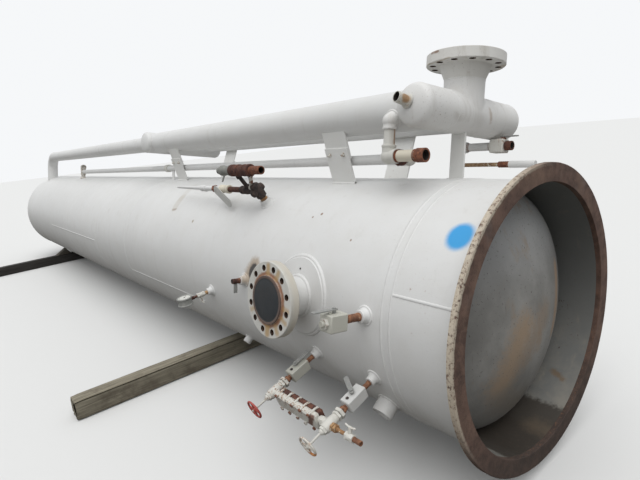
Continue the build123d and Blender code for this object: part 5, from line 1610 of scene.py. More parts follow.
    def welds(self) -> bpy.types.Mesh:
        """Lay the beads of the headers, the pipes and the elbow."""
        laid = []
        for station in (self.outlet, self.back):
            across = Barrel(spot(station, 0, self.up), turned(FAR), self.run)
            toward = BACK if station == self.outlet else ALONG
            laid.append(welded(across, face_at(station, self.side, self.up, toward, UP), self.far_pipe, 0.006, 40, 0.1))
            for side in (-self.half, self.half):
                laid.append(hooped(face_at(station, side, self.up, FAR, UP), self.run, 0.0045, 60, 0.75))
        for side in (-self.reach, self.reach):
            laid.append(hooped(face_at(self.outlet, side, self.up, FAR, UP), self.run, 0.0045, 60, 0.75))
        laid.append(hooped(face_at(self.outlet, 0, self.up + self.reach, UP), self.run, 0.0045, 60, 0.75))
        across = Barrel(spot(self.back, 0, self.up), turned(FAR), self.run)
        laid.append(welded(across, face_at(self.back, -self.side, self.up, BACK, UP), self.gas_pipe, 0.007, 48, 0.1))
        bend = self.leg - self.elbow
        laid.append(hooped(face_at(bend, -self.side, self.up, BACK, UP), self.gas_pipe, 0.005, 48, 0.5))
        laid.append(hooped(face_at(self.leg, -self.side, self.up - self.elbow, UP), self.gas_pipe, 0.005, 48, 0.5))
        laid.append(welded(SHELL_BARREL, face_at(self.leg, -self.side, 0, UP), self.gas_pipe + 0.003, 0.009, 48, 0.1))
        for x in (-1, 1):
            edge = self.outlet + x * self.run * 0.55
            laid.append(Bead([spot(edge, -0.186, self.up + 0.088), spot(edge, -0.38, self.up + 0.088)], 0.003))
        return self.beads.lay(laid[:-2], self.palette(HEADER_PAINT), "header_welds", 0.005, 8)


@dataclass
class Posts:
    """Flat-bar posts under the exchanger: feet, heads, lap bolts and the header's own post."""

    palette: Palette
    studs: StudTree
    beads: BeadTree
    stations: tuple[float, float] = (1.225, 3.640)
    width: float = 0.205
    thickness: float = 0.0127
    foot_side: float = 0.222
    splice: float = 0.229
    lap: float = 0.070
    bolt_at: float = 0.062
    lean: float = 33.0

    def bar(self, form: Form, station: float, sign: int, pipe: float, start: float, end: float,
            step: float) -> Site:
        """Add one flat bar of a post.

        Args:
            form: The piece in the making.
            station: Station of the post.
            sign: Its side of the vessel.
            pipe: Radius of the pipe on it.
            start: Where the bar starts on the post's slope.
            end: Where it ends.
            step: How far out it lies.

        Returns:
            The site on which the bar starts.
        """
        foot = Vector((0, sign * self.foot_side, sqrt(SHELL ** 2 - self.foot_side ** 2)))
        lean = radians(self.lean)
        head = Vector((0, sign * (0.285 + pipe * sin(lean)), 1.037 - pipe * cos(lean)))
        slope = (head - foot).normalized()
        square = Vector((0, sign * slope.z, -sign * slope.y))
        origin = foot + slope * start + square * step
        site = face_at(station, origin.y, origin.z, slope)
        form.bar(site, self.width, self.thickness, min(end, (head - foot).length + 0.010) - start, 0.0012)
        return site

    def build(self) -> None:
        """Make every post."""
        feet, heads = Form(), Form()
        sites, laid = [], []
        for station in self.stations:
            for sign, pipe in ((-1, 0.1095), (1, 0.0572)):
                foot = self.bar(feet, station, sign, pipe, -0.012, self.splice, self.thickness)
                self.bar(heads, station, sign, pipe, self.splice - self.lap, LENGTH, 0.0)
                out = foot.y if foot.y.dot(turned((0, sign, 0))) > 0 else -foot.y
                base = foot.offset(self.splice + 0.012 - 0.040)
                for x in (-self.bolt_at, self.bolt_at):
                    at = base.offset(0, x).origin + out * (self.thickness / 2)
                    sites.append(aimed(at, out, foot.x))
                    back = base.offset(0, x).origin - out * (self.thickness * 1.5)
                    sites.append(aimed(back, -out, foot.x))
                for face in (-1, 1):
                    line = [foot.offset(0.016, x) for x in (-self.width / 2, self.width / 2)]
                    laid.append(Bead([s.origin + out * face * self.thickness / 2 for s in line], 0.007))
        put("post_feet_bars", feet.mesh_data("post_feet_bars"), [self.palette(POST_PAINT)], Slot.POST, ("post_feet",))
        put("post_head_bars", heads.mesh_data("post_head_bars"), [self.palette(POST_PAINT)], Slot.POST,
            ("post_heads",))
        stud = Form().lathe(ORIGIN, [(0.013, 0), (0.014, 0.0005), (0.014, 0.002), (0.013, 0.0025)], 24)
        stud.hexagon(ORIGIN.offset(0.0025), 0.019, 0.009).threads(ORIGIN.offset(0.0115), 0.006, 0.008, 0.002, 14)
        data = self.studs.set(sites, stud, self.palette(FITTING_PAINT), "post_bolts")
        put("post_bolts", data, [self.palette(FITTING_PAINT)], Slot.FITTING)
        middle = Form().bar(face_at(0.545, -0.020, 0.678, UP), 0.090, self.thickness, 0.258, 0.0012)
        middle.bar(face_at(0.545, -0.020, 0.665, UP), 0.120, 0.030, 0.024, 0.004)
        put("header_post_bar", middle.mesh_data("header_post_bar"), [self.palette(POST_PAINT)], Slot.POST,
            ("header_post",))
        put("post_welds", self.beads.lay(laid, self.palette(POST_PAINT), "post_welds", 0.005, 8),
            [self.palette(POST_PAINT)], Slot.POST)


@dataclass
class GlycolLine:
    """The two inch line beside the exchanger: drop, tee, drain end, run, coupling, support and riser."""

    palette: Palette
    beads: BeadTree
    side: float = 0.232
    near_up: float = 0.787
    far_up: float = 0.748
    drop: float = 0.710
    drop_side: float = 0.402
    elbow_up: float = 0.972
    elbow_reach: float = 0.045
    drop_reach: float = 0.060
    riser: float = 7.500
    pipe: float = 0.0302
    wide: float = 0.0392
    tee_reach: float = 0.045

    def at(self, station: float, normal: Sequence[float] | None = None) -> Site:
        """A site on the line's centre, looking down it or as told."""
        share = (station - self.drop) / (self.riser - self.drop)
        up = self.near_up + (self.far_up - self.near_up) * share
        slope = (self.drop - self.riser, 0, self.far_up - self.near_up)
        return face_at(station, -self.side, up, normal or slope, UP if normal is None else ALONG)

    def arm(self, form: Form, site: Site, reach: float) -> None:
        """Add one arm of a screwed fitting, from its middle to its banded mouth."""
        wide = self.wide
        form.lathe(site, [(wide - 0.003, 0), (wide - 0.003, reach - 0.014), (wide, reach - 0.012),
                          (wide, reach - 0.002), (wide - 0.002, reach)], 36)

    def ball(self, form: Form, middle: Vector) -> None:
        """Add the rounded middle of a screwed fitting."""
        size = self.wide + 0.002
        form.lathe(Site(middle, turned(ALONG), turned(UP)),
                   [(size * sin(pi * i / 12), -size * cos(pi * i / 12)) for i in range(13)], 32)

    def drop_pieces(self) -> None:
        """Make the elbow on the pipe's flank, the short pipe, the tee, the union and the drain end."""
        fitting, joint = self.palette(FITTING_PAINT), self.palette(JOINT_RUST)
        tee = face_at(self.drop, -self.drop_side, self.near_up, UP)
        elbow = face_at(self.drop, -self.drop_side, self.elbow_up, DOWN)
        root = spot(self.drop, -0.285, 1.037)
        saddle = aimed(root, elbow.origin - root, turned(ALONG))
        form = Form().lathe(saddle, [(0.036, 0.090), (0.0425, 0.104), (0.0425, 0.113), (0.039, 0.122),
                                     (0.038, 0.134)], 40)
        self.ball(form, elbow.origin)
        self.arm(form, elbow, self.elbow_reach)
        put("drop_saddle", form.mesh_data("drop_saddle"), [self.palette(HEADER_PAINT)], Slot.FITTING,
            ("drop_weldolet",))
        near_pipe = Barrel(root, turned(ALONG), 0.1095)
        bead = self.beads.lay([welded(near_pipe, saddle, 0.044, 0.006, 40, 0.2)], self.palette(HEADER_PAINT),
                              "drop_weld", 0.005, 8)
        put("drop_weld", bead, [self.palette(HEADER_PAINT)], Slot.FITTING)
        edge = Vector((0.96, 0.27, -0.05)) * self.pipe
        run = Mark(elbow.offset(0.03).origin + edge, tee.offset(0.05).origin + edge, 0.008, 0.006,
                   (0.30, 0.15, 0.07), 0.85, 0.012)
        paint = Paint("drop_paint", colour=(0.66, 0.65, 0.61), chips=0.44, bleed=0.30, grime=0.3, splash=0.0,
                      grain=62.0, chip_colour=(0.05, 0.04, 0.035), marks=(run,))
        length = self.elbow_up - self.near_up - self.elbow_reach - self.drop_reach
        pipes = Form().rod(elbow.offset(self.elbow_reach - 0.004), self.pipe, length + 0.008)
        across = tee.facing(turned(FAR), turned(UP))
        gap = self.drop_side - self.side - self.drop_reach - self.tee_reach
        pipes.coat = 1
        pipes.rod(across.offset(self.drop_reach - 0.004), self.pipe, gap + 0.008)
        pipes.hexagon(across.offset(self.drop_reach + 0.012), 0.080, 0.014)
        pipes.lathe(across.offset(self.drop_reach + 0.026), [(0.040, 0), (0.044, 0.004), (0.044, 0.022),
                                                             (0.040, 0.027)], 40)
        put("drop_pipes", pipes.mesh_data("drop_pipes"), [self.palette(paint), self.palette(DARK_RUST)],
            Slot.FITTING, ("drop_union",))
        body = Form()
        for way in (UP, ALONG, FAR):
            self.arm(body, tee.facing(turned(way), turned(NEAR)), self.drop_reach)
        corner = self.at(self.drop)
        self.arm(body, corner.facing(turned(NEAR), turned(UP)), self.tee_reach)
        self.arm(body, corner, self.tee_reach)
        for middle in (tee.origin, corner.origin):
            self.ball(body, middle)
        put("drop_tee_body", body.mesh_data("drop_tee_body"), [fitting], Slot.FITTING, ("drop_tee",))
        out = tee.facing(turned(ALONG), turned(UP)).offset(self.drop_reach)
        drain = Form()
        drain.coat = 1
        drain.threads(out, self.pipe * 1.12, 0.014)
        drain.coat = 0
        drain.rod(out.offset(0.012), self.pipe, 0.122)
        drain.coat = 1
        drain.inside = 2
        drain.threads(out.offset(0.116), self.pipe * 1.06, 0.020)
        drain.socket(out.offset(0.134), 0.036, 0.026, 0.052, 0.030, 36)
        put("drain_coupling", drain.mesh_data("drain_coupling"), [self.palette(NIPPLE_CREAM), joint, self.palette(BORE_SHADE_BLACK)],
            Slot.FITTING, ("drain_end",))

    def build(self) -> None:
        """Make every piece of the line."""
        paint, fitting = self.palette(PIPE_PAINT), self.palette(FITTING_PAINT)
        start = self.at(self.drop)
        length = (self.at(self.riser).origin - start.origin).length
        run = Form().lathe(start.offset(self.tee_reach - 0.01),
                           [(self.pipe, (length - 2 * self.tee_reach + 0.02) * i / 20) for i in range(21)], 40)
        put("glycol_run", run.mesh_data("glycol_run"), [paint], Slot.PIPE, ("glycol_line",))
        wide = self.wide
        coupling = Form().lathe(self.at(4.000), [(wide - 0.002, 0), (wide, 0.002), (wide, 0.068), (wide - 0.002, 0.070),
                                                 (self.pipe, 0.070), (self.pipe, 0)], 36, True)
        put("run_coupling", coupling.mesh_data("run_coupling"), [fitting], Slot.FITTING, ("line_coupling",))
        self.drop_pieces()
        self.far_end(fitting)
        leg = Form().bar(face_at(3.900, -self.side, 0.643, UP), 0.050, 0.010, 0.100, 0.001)
        put("line_leg", leg.mesh_data("line_leg"), [self.palette(POST_PAINT)], Slot.POST, ("line_support",))

    def far_end(self, fitting: bpy.types.Material) -> None:
        """Make the riser at the domed end with its tee and open elbow."""
        form = Form()
        wide = self.wide
        base = face_at(self.riser, -self.side, 0.620, UP)
        form.rod(base, self.pipe, self.far_up + 0.075 - 0.620, 0.002, 36)
        up = face_at(self.riser, -self.side, self.far_up, UP)
        for site in (up, up.facing(-up.z, up.x), up.facing(turned(ALONG), up.z)):
            self.arm(form, site, self.tee_reach)
        mouth = face_at(self.riser, -self.side, self.far_up + 0.075, ALONG, UP)
        form.lathe(mouth.offset(-wide), [(0.0, 0.0), (wide * 0.6, 0.004), (wide * 0.9, 0.014), (wide, 0.030)]
                   + [(wide, wide + self.tee_reach - 0.002), (wide - 0.002, wide + self.tee_reach),
                      (self.pipe, wide + self.tee_reach), (self.pipe, wide + self.tee_reach - 0.03),
                      (0, wide + self.tee_reach - 0.03)], 36)
        form.lathe(up.offset(0.040), [(wide - 0.002, 0), (wide, 0.002), (wide, 0.030), (wide - 0.002, 0.034)], 36)
        form.lathe(face_at(self.riser, -self.side, 0.640, UP), [(0.050, 0), (0.046, 0.012), (0.038, 0.022)], 36)
        put("riser_pipe", form.mesh_data("riser_pipe"), [fitting], Slot.PIPE, ("glycol_riser",))


@dataclass
class ShellFittings:
    """Bosses on the shell, the open vent nipple and the plugged stubs below."""

    palette: Palette
    beads: BeadTree
    bosses: tuple[tuple[float, float, float], ...] = (
        (1.000, 118.5, 0.0134), (0.551, 118.5, 0.0134), (0.556, 90.0, 0.020), (1.735, 44.0, 0.024),
        (2.178, 105.0, 0.0134), (1.672, 91.0, 0.0167))
    header_mouth: tuple[float, float] = (0.028, 0.0235)

    def build(self) -> None:
        """Make every boss, stub and nipple."""
        form, laid = Form(), []
        for station, azimuth, nipple in self.bosses:
            site = stand_at((station, azimuth), -0.012)
            wide = nipple + 0.013
            form.lathe(site, [(wide + 0.014, 0), (wide + 0.011, 0.014), (wide + 0.004, 0.022), (wide, 0.030),
                              (wide, 0.049), (wide - 0.0025, 0.052), (nipple + 0.001, 0.052), (nipple - 0.001, 0.046)],
                       40)
            laid.append(welded(SHELL_BARREL, stand_at((station, azimuth), -SHELL), wide + 0.012, 0.007, 36, 0.2))
        small, large = stand_at((2.002, 141.0), -0.012), stand_at((0.556, 136.0), -0.012)
        form.lathe(small, [(0.030, 0), (0.030, 0.053), (0.0275, 0.057), (0.020, 0.057), (0.0185, 0.053),
                           (0.0185, 0.050), (0.0, 0.050)], 36)
        form.socket(large, 0.057, 0.044, 0.087, 0.015, 48)
        laid.append(welded(SHELL_BARREL, stand_at((2.002, 141.0), -SHELL), 0.032, 0.007, 36, 0.2))
        laid.append(welded(SHELL_BARREL, stand_at((0.556, 136.0), -SHELL), 0.059, 0.008, 48, 0.2))
        put("boss_set", form.mesh_data("boss_set"), [self.palette(VESSEL_PAINT)], Slot.VESSEL, ("shell_bosses",))
        data = self.beads.lay(laid, self.palette(VESSEL_PAINT), "boss_welds", 0.005, 8)
        put("boss_welds", data, [self.palette(VESSEL_PAINT)], Slot.VESSEL)
        self.nipples()
        self.header_coupling()

    def nipples(self) -> None:
        """Make the nipples, their threads showing at both ends."""
        form = Form()
        for place, radius, end in (((1.000, 118.5), 0.0134, 0.092), ((0.551, 118.5), 0.0134, 0.092),
                                   ((0.556, 90.0), 0.020, 0.148), ((1.735, 44.0), 0.024, 0.062),
                                   ((2.178, 105.0), 0.0134, 0.062)):
            form.coat = 1 if radius == 0.024 or place[0] == 2.178 else 0
            form.rod(stand_at(place, 0.012), radius, end - 0.012, 0.001, 28)
            form.threads(stand_at(place, 0.038), radius * 1.06, min(0.012, (end - 0.04) / 2), 0.0025)
            form.threads(stand_at(place, end - 0.009), radius * 1.06, 0.009, 0.0025)
        form.coat, form.inside = 2, 4
        form.socket(stand_at((1.672, 91.0), 0.012), 0.0167, 0.0127, 0.084, 0.030)
        form.coat = 0
        form.threads(stand_at((1.672, 91.0), 0.042), 0.0176, 0.012, 0.0025)
        # The outer threads take the same near-black finish as the bores.
        form.coat = 4
        form.threads(stand_at((1.672, 91.0), 0.070), 0.0172, 0.024, 0.0025)
        form.coat = 3
        tag = stand_at((1.672, 91.0), 0.070, outward(181.0))
        form.prism(tag.offset(0.016), slot_outline(-0.014, 0.014, 0.007, 4), 0.062, 0.0006)
        put("nipple_set", form.mesh_data("nipple_set"),
            [self.palette(NIPPLE_RUST), self.palette(YELLOW_BRASS), self.palette(DARK_RUST),
             self.palette(LEVER_GREY), self.palette(BORE_SHADE_BLACK)], Slot.FITTING, ("shell_nipples",))

    def header_coupling(self) -> None:
        """Make the open coupling in the near cap of the outlet header."""
        site = face_at(0.545, -0.395, 1.037, (-0.2, -0.95, 0.2), UP)
        radius, bore = self.header_mouth
        form = Form()
        form.inside = 1
        form.socket(site.offset(0.055), radius, bore, 0.0765, 0.045, 40)
        form.lathe(site.offset(0.058), [(radius + 0.010, 0), (radius + 0.007, 0.008), (radius + 0.001, 0.014)], 40)
        patch = site.offset(0.096).origin + turned(ALONG) * radius
        marks = (Mark(patch, patch, 0.024, 0.008, (0.33, 0.20, 0.10), 0.95, 0.016),)
        paint = Paint("coupling_paint", colour=(0.56, 0.55, 0.50), chips=0.35, bleed=0.7, splash=0.0, grain=90.0,
                      marks=marks)
        put("open_coupling", form.mesh_data("open_coupling"), [self.palette(paint), self.palette(BORE_SHADE_BLACK)], Slot.FITTING,
            ("header_coupling",))


def lever_plate(form: Form, site: Site, turn: float, length: float, rise: float = 0.014, tail: float = 0.018,
                width: float = 0.026) -> Form:
    """Add a lever: stem, hub nut and a flat grip with round ends.

    Args:
        form: The piece in the making.
        site: Where the stem stands.
        turn: Turn of the grip about the stem, in degrees.
        length: Length of the grip.
        rise: Length of the stem.
        tail: How far the grip reaches past the stem.
        width: Width of the grip.

    Returns:
        The form.
    """
    form.rod(site, 0.009, rise + 0.004, 0.001, 24)
    grip = site.offset(rise).spun(turn)
    form.prism(grip, slot_outline(-tail, length - tail, width), 0.006, 0.0012)
    form.hexagon(grip.offset(0.006), 0.016, 0.006)
    return form


@dataclass
class LevelGauge:
    """Level gauge on two arms: block valves, unions, cocks, glass body with U-bolts, wheels and drain."""

    palette: Palette
    wheels: WheelTree
    studs: StudTree
    upper: tuple[float, float] = (1.000, 118.5)
    lower: tuple[float, float] = (0.551, 118.5)
    body_at: float = 0.335
    body_length: float = 0.330
    wheel_at: float = 0.470
    bolts: int = 5

    @property
    def reach(self) -> float:
        """Reach of the cocks' ports to the body."""
        return (self.upper[0] - self.lower[0] - self.body_length) / 2

    def arms(self) -> None:
        """Make the block valves, unions and cocks of both arms."""
        blocks, unions, cocks, levers = Form(), Form(), Form(), Form()
        for arm, toward, turn, coat in ((self.upper, ALONG, 180, 0), (self.lower, BACK, 240, 2)):
            blocks.coat = coat
            blocks.bar(stand_at(arm, 0.092), 0.064, 0.064, 0.123, 0.004)
            blocks.coat = 1
            for angle in (90, 270):
                side = stand_at(arm, 0.190).facing(turned(outward(arm[1] + angle)), turned(ALONG))
                blocks.hexagon(side.offset(0.032), 0.015, 0.005)
            unions.coat = 1
            unions.rod(stand_at(arm, 0.209), 0.0134, 0.080, 0.001, 28)
            unions.threads(stand_at(arm, 0.216), 0.0142, 0.010, 0.0025)
            unions.hexagon(stand_at(arm, 0.228), 0.034, 0.016)
            unions.coat = 0
            unions.hexagon(stand_at(arm, 0.248), 0.054, 0.019)
            unions.hexagon(stand_at(arm, 0.270).spun(17), 0.050, 0.015)
            cock = stand_at(arm, 0.285)
            cocks.lathe(cock, [(0.021, 0), (0.024, 0.003), (0.0245, 0.016), (0.027, 0.022), (0.027, 0.078),
                               (0.024, 0.083), (0.018, 0.085)], 36)
            cocks.hexagon(stand_at(arm, 0.368), 0.040, 0.014)
            cocks.lathe(stand_at(arm, 0.382), [(0.016, 0), (0.016, 0.006), (0.011, 0.012), (0.009, 0.014)], 28)
            port = stand_at(arm, self.body_at, toward)
            cocks.rod(port, 0.020, self.reach + 0.002, 0.001, 28)
            cocks.hexagon(port.offset(0.030), 0.044, 0.015)
            pivot = stand_at(arm, 0.1535)
            lever_plate(levers, pivot.facing(turned(outward(arm[1] - 90)), pivot.z).offset(0.032), turn, 0.130)
        put("gauge_block_valves", blocks.mesh_data("gauge_block_valves"),
            [self.palette(BLOCK_PAINT), self.palette(IRON_RUST), self.palette(BLOCK_WHITE)], Slot.FITTING,
            ("gauge_blocks",))
        put("gauge_union_nuts", unions.mesh_data("gauge_union_nuts"),
            [self.palette(FITTING_PAINT), self.palette(NIPPLE_RUST)], Slot.FITTING, ("gauge_unions",))
        put("gauge_cock_bodies", cocks.mesh_data("gauge_cock_bodies"), [self.palette(FITTING_PAINT)],
            Slot.FITTING, ("gauge_cocks",))
        self.levers = levers

    def body(self) -> None:
        """Make the body: painted cover outside, rusty chamber inside, U-bolts round both."""
        middle = stand_at(self.upper, self.body_at, ALONG).offset(self.reach)
        form = Form()
        form.bar(middle.offset(0, 0.0145), 0.037, 0.086, self.body_length, 0.007)
        form.coat = 1
        form.bar(middle.offset(0.004, -0.018), 0.030, 0.074, self.body_length - 0.008, 0.005)
        form.coat = 0
        nuts = []
        for i in range(self.bolts):
            along = self.body_length * (i + 0.5) / self.bolts
            at = middle.offset(along)
            wide = 0.0435
            path = [at.point(0.040, -wide, 0), at.point(-0.012, -wide, 0), at.point(-0.024, -wide + 0.004, 0),
                    at.point(-0.031, -wide + 0.016, 0), at.point(-0.031, wide - 0.016, 0),
                    at.point(-0.024, wide - 0.004, 0), at.point(-0.012, wide, 0), at.point(0.040, wide, 0)]
            form.sweep(path, 0.0062, 12)
            nuts += [aimed(at.point(0.0325, y, 0), at.x, at.z) for y in (-wide, wide)]
        marks = (Mark(middle.point(0.033, 0.043, 0.262), middle.point(0.036, -0.043, 0.318), 0.016, 0.006,
                      (0.12, 0.050, 0.032), 0.92, 0.030),)
        paint = Paint("gauge_body_paint", colour=(0.61, 0.60, 0.555), chips=0.52, bleed=0.85, grime=0.38,
                      splash=0.1, grain=85.0, rust_colour=(0.38, 0.19, 0.08), marks=marks)
        put("gauge_glass_body", form.mesh_data("gauge_glass_body"),
            [self.palette(paint), self.palette(DARK_RUST)], Slot.FITTING, ("gauge_body",))
        nut = Form().hexagon(ORIGIN, 0.018, 0.009)
        put("gauge_body_nuts", self.studs.set(nuts, nut, self.palette(FLAKED_RUST), "gauge_body_nuts"),
            [self.palette(FLAKED_RUST)], Slot.FITTING)

    def handwheels(self) -> None:
        """Make both wheels and their stems."""
        parts = []
        for arm, finish in ((self.upper, WHEEL_RED), (self.lower, WHEEL_WHITE)):
            hub = stand_at(arm, self.wheel_at + 0.0055)
            parts.append(self.wheels.set([hub], self.palette(finish), 0.0492, 0.0056, 0.013, 4, "wheel"))
            stem = Form().rod(stand_at(arm, 0.394), 0.0055, 0.095, 0.001, 20)
            stem.threads(stand_at(arm, 0.400), 0.0066, 0.060, 0.002, 16)
            stem.hexagon(stand_at(arm, 0.478), 0.013, 0.0055)
            parts.append(stem.mesh_data("stem"))
        data = joined(parts, (0, 2, 1, 2), "gauge_wheels")
        put("gauge_wheels", data, [self.palette(WHEEL_RED), self.palette(WHEEL_WHITE), self.palette(FITTING_PAINT)],
            Slot.WHEEL, ("gauge_handwheels",))

    def drain(self) -> None:
        """Make the drain with its small valve and two-winged handle."""
        start = stand_at(self.lower, self.body_at, ALONG).offset(0.025)
        form = Form()
        form.coat = 1
        form.hexagon(start, 0.038, 0.014)
        form.hexagon(start.offset(0.016).spun(14), 0.034, 0.016)
        form.rod(start.offset(0.012), 0.009, 0.085, 0.001, 24)
        form.threads(start.offset(0.036), 0.0098, 0.012, 0.002)
        form.threads(start.offset(0.082), 0.0098, 0.012, 0.002)
        form.coat = 0
        valve = start.offset(0.094)
        form.hexagon(valve, 0.038, 0.013)
        form.lathe(valve.offset(0.010), [(0.017, 0), (0.019, 0.006), (0.019, 0.020), (0.017, 0.026)], 28)
        form.hexagon(valve.offset(0.034).spun(11), 0.036, 0.014)
        form.coat = 2
        form.socket(valve.offset(0.046), 0.012, 0.008, 0.050, 0.020, 24)
        form.coat = 0
        stem = valve.offset(0.023).facing(turned(UP), turned(ALONG))
        form.rod(stem.offset(0.015), 0.009, 0.029, 0.001, 24)
        wing = [stem.point(x, 0, z) for x, z in ((-0.033, 0.0505), (-0.028, 0.049), (-0.014, 0.045), (0, 0.0445),
                                                 (0.014, 0.045), (0.028, 0.049), (0.033, 0.0505))]
        form.sweep(wing, [0.0030, 0.0060, 0.0052, 0.0065, 0.0052, 0.0060, 0.0030], 12)
        put("gauge_drain_valve", form.mesh_data("gauge_drain_valve"),
            [self.palette(FITTING_PAINT), self.palette(YELLOW_BRASS), self.palette(NIPPLE_RUST)], Slot.FITTING,
            ("gauge_drain",))

    def build(self) -> None:
        """Make every piece of the gauge."""
        self.arms()
        self.body()
        self.handwheels()
        self.drain()


def joined(parts: Sequence[bpy.types.Mesh], coats: Sequence[int], name: str) -> bpy.types.Mesh:
    """Join meshes into one, each on its own finish.

    Args:
        parts: The meshes; they are used up.
        coats: Material index of each.
        name: Name of the new mesh.

    Returns:
        The joined mesh.
    """
    whole = bmesh.new()
    for part, coat in zip(parts, coats):
        part.polygons.foreach_set("material_index", [coat] * len(part.polygons))
        part.update()
        whole.from_mesh(part)
        bpy.data.meshes.remove(part)
    data = bpy.data.meshes.new(name)
    whole.to_mesh(data)
    whole.free()
    data.set_sharp_from_angle(angle=radians(35))
    return data


@dataclass
class SideValve:
    """Bar-stock block valve on the near side, with its plug; its lever goes with the gauge's."""

    palette: Palette
    place: tuple[float, float] = (0.556, 90.0)
    start: float = 0.148
    end: float = 0.252
    width: float = 0.084

    def build(self, levers: Form) -> None:
        """Make the block and hand its lever over."""
        form = Form()
        form.bar(stand_at(self.place, self.start), self.width, self.width, self.end - self.start, 0.005)
        form.coat = 1
        form.hexagon(stand_at(self.place, self.end - 0.002), 0.046, 0.016)
        form.coat = 0
        form.lathe(stand_at(self.place, self.end + 0.012), [(0.014, 0), (0.0165, 0.003), (0.0165, 0.012),
                                                            (0.013, 0.0158), (0.006, 0.016)], 28)
        middle = stand_at(self.place, (self.start + self.end) / 2)
        for angle, along in ((90, 0.0), (270, 0.0)):
            side = middle.offset(0.026).facing(turned(outward(self.place[1] + angle)), turned(ALONG))
            form.hexagon(side.offset(self.width / 2), 0.017, 0.005)
        put("side_block_valve", form.mesh_data("side_block_valve"),
            [self.palette(BLOCK_PAINT), self.palette(FITTING_PAINT)], Slot.FITTING, ("side_valve",))
        top = middle.facing(turned(outward(self.place[1] - 90)), middle.z)
        lever_plate(levers, top.offset(self.width / 2), 0, 0.150)


@dataclass
class PressureGauge:
    """Needle valve with its T handle and the gauge drum on it."""

    palette: Palette
    place: tuple[float, float] = (2.178, 105.0)
    case_at: float = 0.165
    radius: float = 0.050
    depth: float = 0.060

    def build(self) -> None:
        """Make the valve and the gauge."""
        form = Form()
        form.hexagon(stand_at(self.place, 0.062), 0.034, 0.020)
        form.lathe(stand_at(self.place, 0.080), [(0.0165, 0), (0.0175, 0.004), (0.0175, 0.020), (0.0165, 0.024)], 32)
        form.hexagon(stand_at(self.place, 0.104), 0.034, 0.020)
        form.coat = 1
        form.rod(stand_at(self.place, 0.122), 0.009, 0.044, 0.001, 24)
        form.hexagon(stand_at(self.place, 0.146), 0.022, 0.014)
        form.coat = 0
        middle = stand_at(self.place, 0.093)
        stem = middle.facing(turned(outward(self.place[1] + 90)), middle.z)
        form.hexagon(stem.offset(0.013), 0.020, 0.014)
        form.rod(stem.offset(0.020), 0.006, 0.036, 0.001, 20)
        bar = stem.offset(0.056)
        path = [bar.point(0, y, 0) for y in (-0.031, -0.027, -0.010, 0, 0.010, 0.027, 0.031)]
        form.sweep(path, [0.0030, 0.0050, 0.0045, 0.0060, 0.0045, 0.0050, 0.0030], 12)
        put("needle_valve_body", form.mesh_data("needle_valve_body"),
            [self.palette(FITTING_PAINT), self.palette(DARK_RUST)], Slot.FITTING, ("needle_valve",))
        case = Form()
        centre = stand_at(self.place, self.case_at + self.radius + 0.005)
        drum = centre.facing(turned(outward(self.place[1] - 90)), centre.z).offset(-self.depth / 2)
        r, d = self.radius, self.depth
        case.lathe(drum, [(0, 0.0025), (r * 0.55, 0.0020), (r - 0.004, 0.0015), (r + 0.002, 0), (r + 0.005, 0.002),
                          (r + 0.005, 0.009), (r + 0.003, 0.011), (r - 0.001, 0.012), (r - 0.001, d - 0.012),
                          (r + 0.003, d - 0.011), (r + 0.005, d - 0.009), (r + 0.005, d - 0.002),
                          (r + 0.003, d), (r - 0.003, d), (r - 0.005, d - 0.004), (0, d - 0.004)], 64)
        case.coat = 1
        case.rod(stand_at(self.place, self.case_at - 0.001), 0.013, 0.014, 0.001, 24)
        case.coat = 2
        case.lathe(drum.offset(d - 0.0038), [(r - 0.006, 0), (r - 0.006, 0.0006), (0, 0.0006)], 64)
        case.coat = 3
        face = drum.offset(d - 0.0031)
        for i in range(11):
            tick = face.spun(-135 + 27 * i)
            case.bar(tick.offset(0, 0.036), 0.008, 0.0016, 0.0006, 0.0001)
        case.bar(face.spun(-135).offset(0.0008, 0.014), 0.038, 0.0022, 0.0006, 0.0002)
        case.rod(face, 0.004, 0.002, 0.0004, 20)
        put("pressure_gauge_case", case.mesh_data("pressure_gauge_case"),
            [self.palette(DRUM_GREY), self.palette(DARK_RUST), self.palette(DIAL_WHITE), self.palette(DIAL_BLACK)],
            Slot.GAUGE, ("pressure_gauge",))


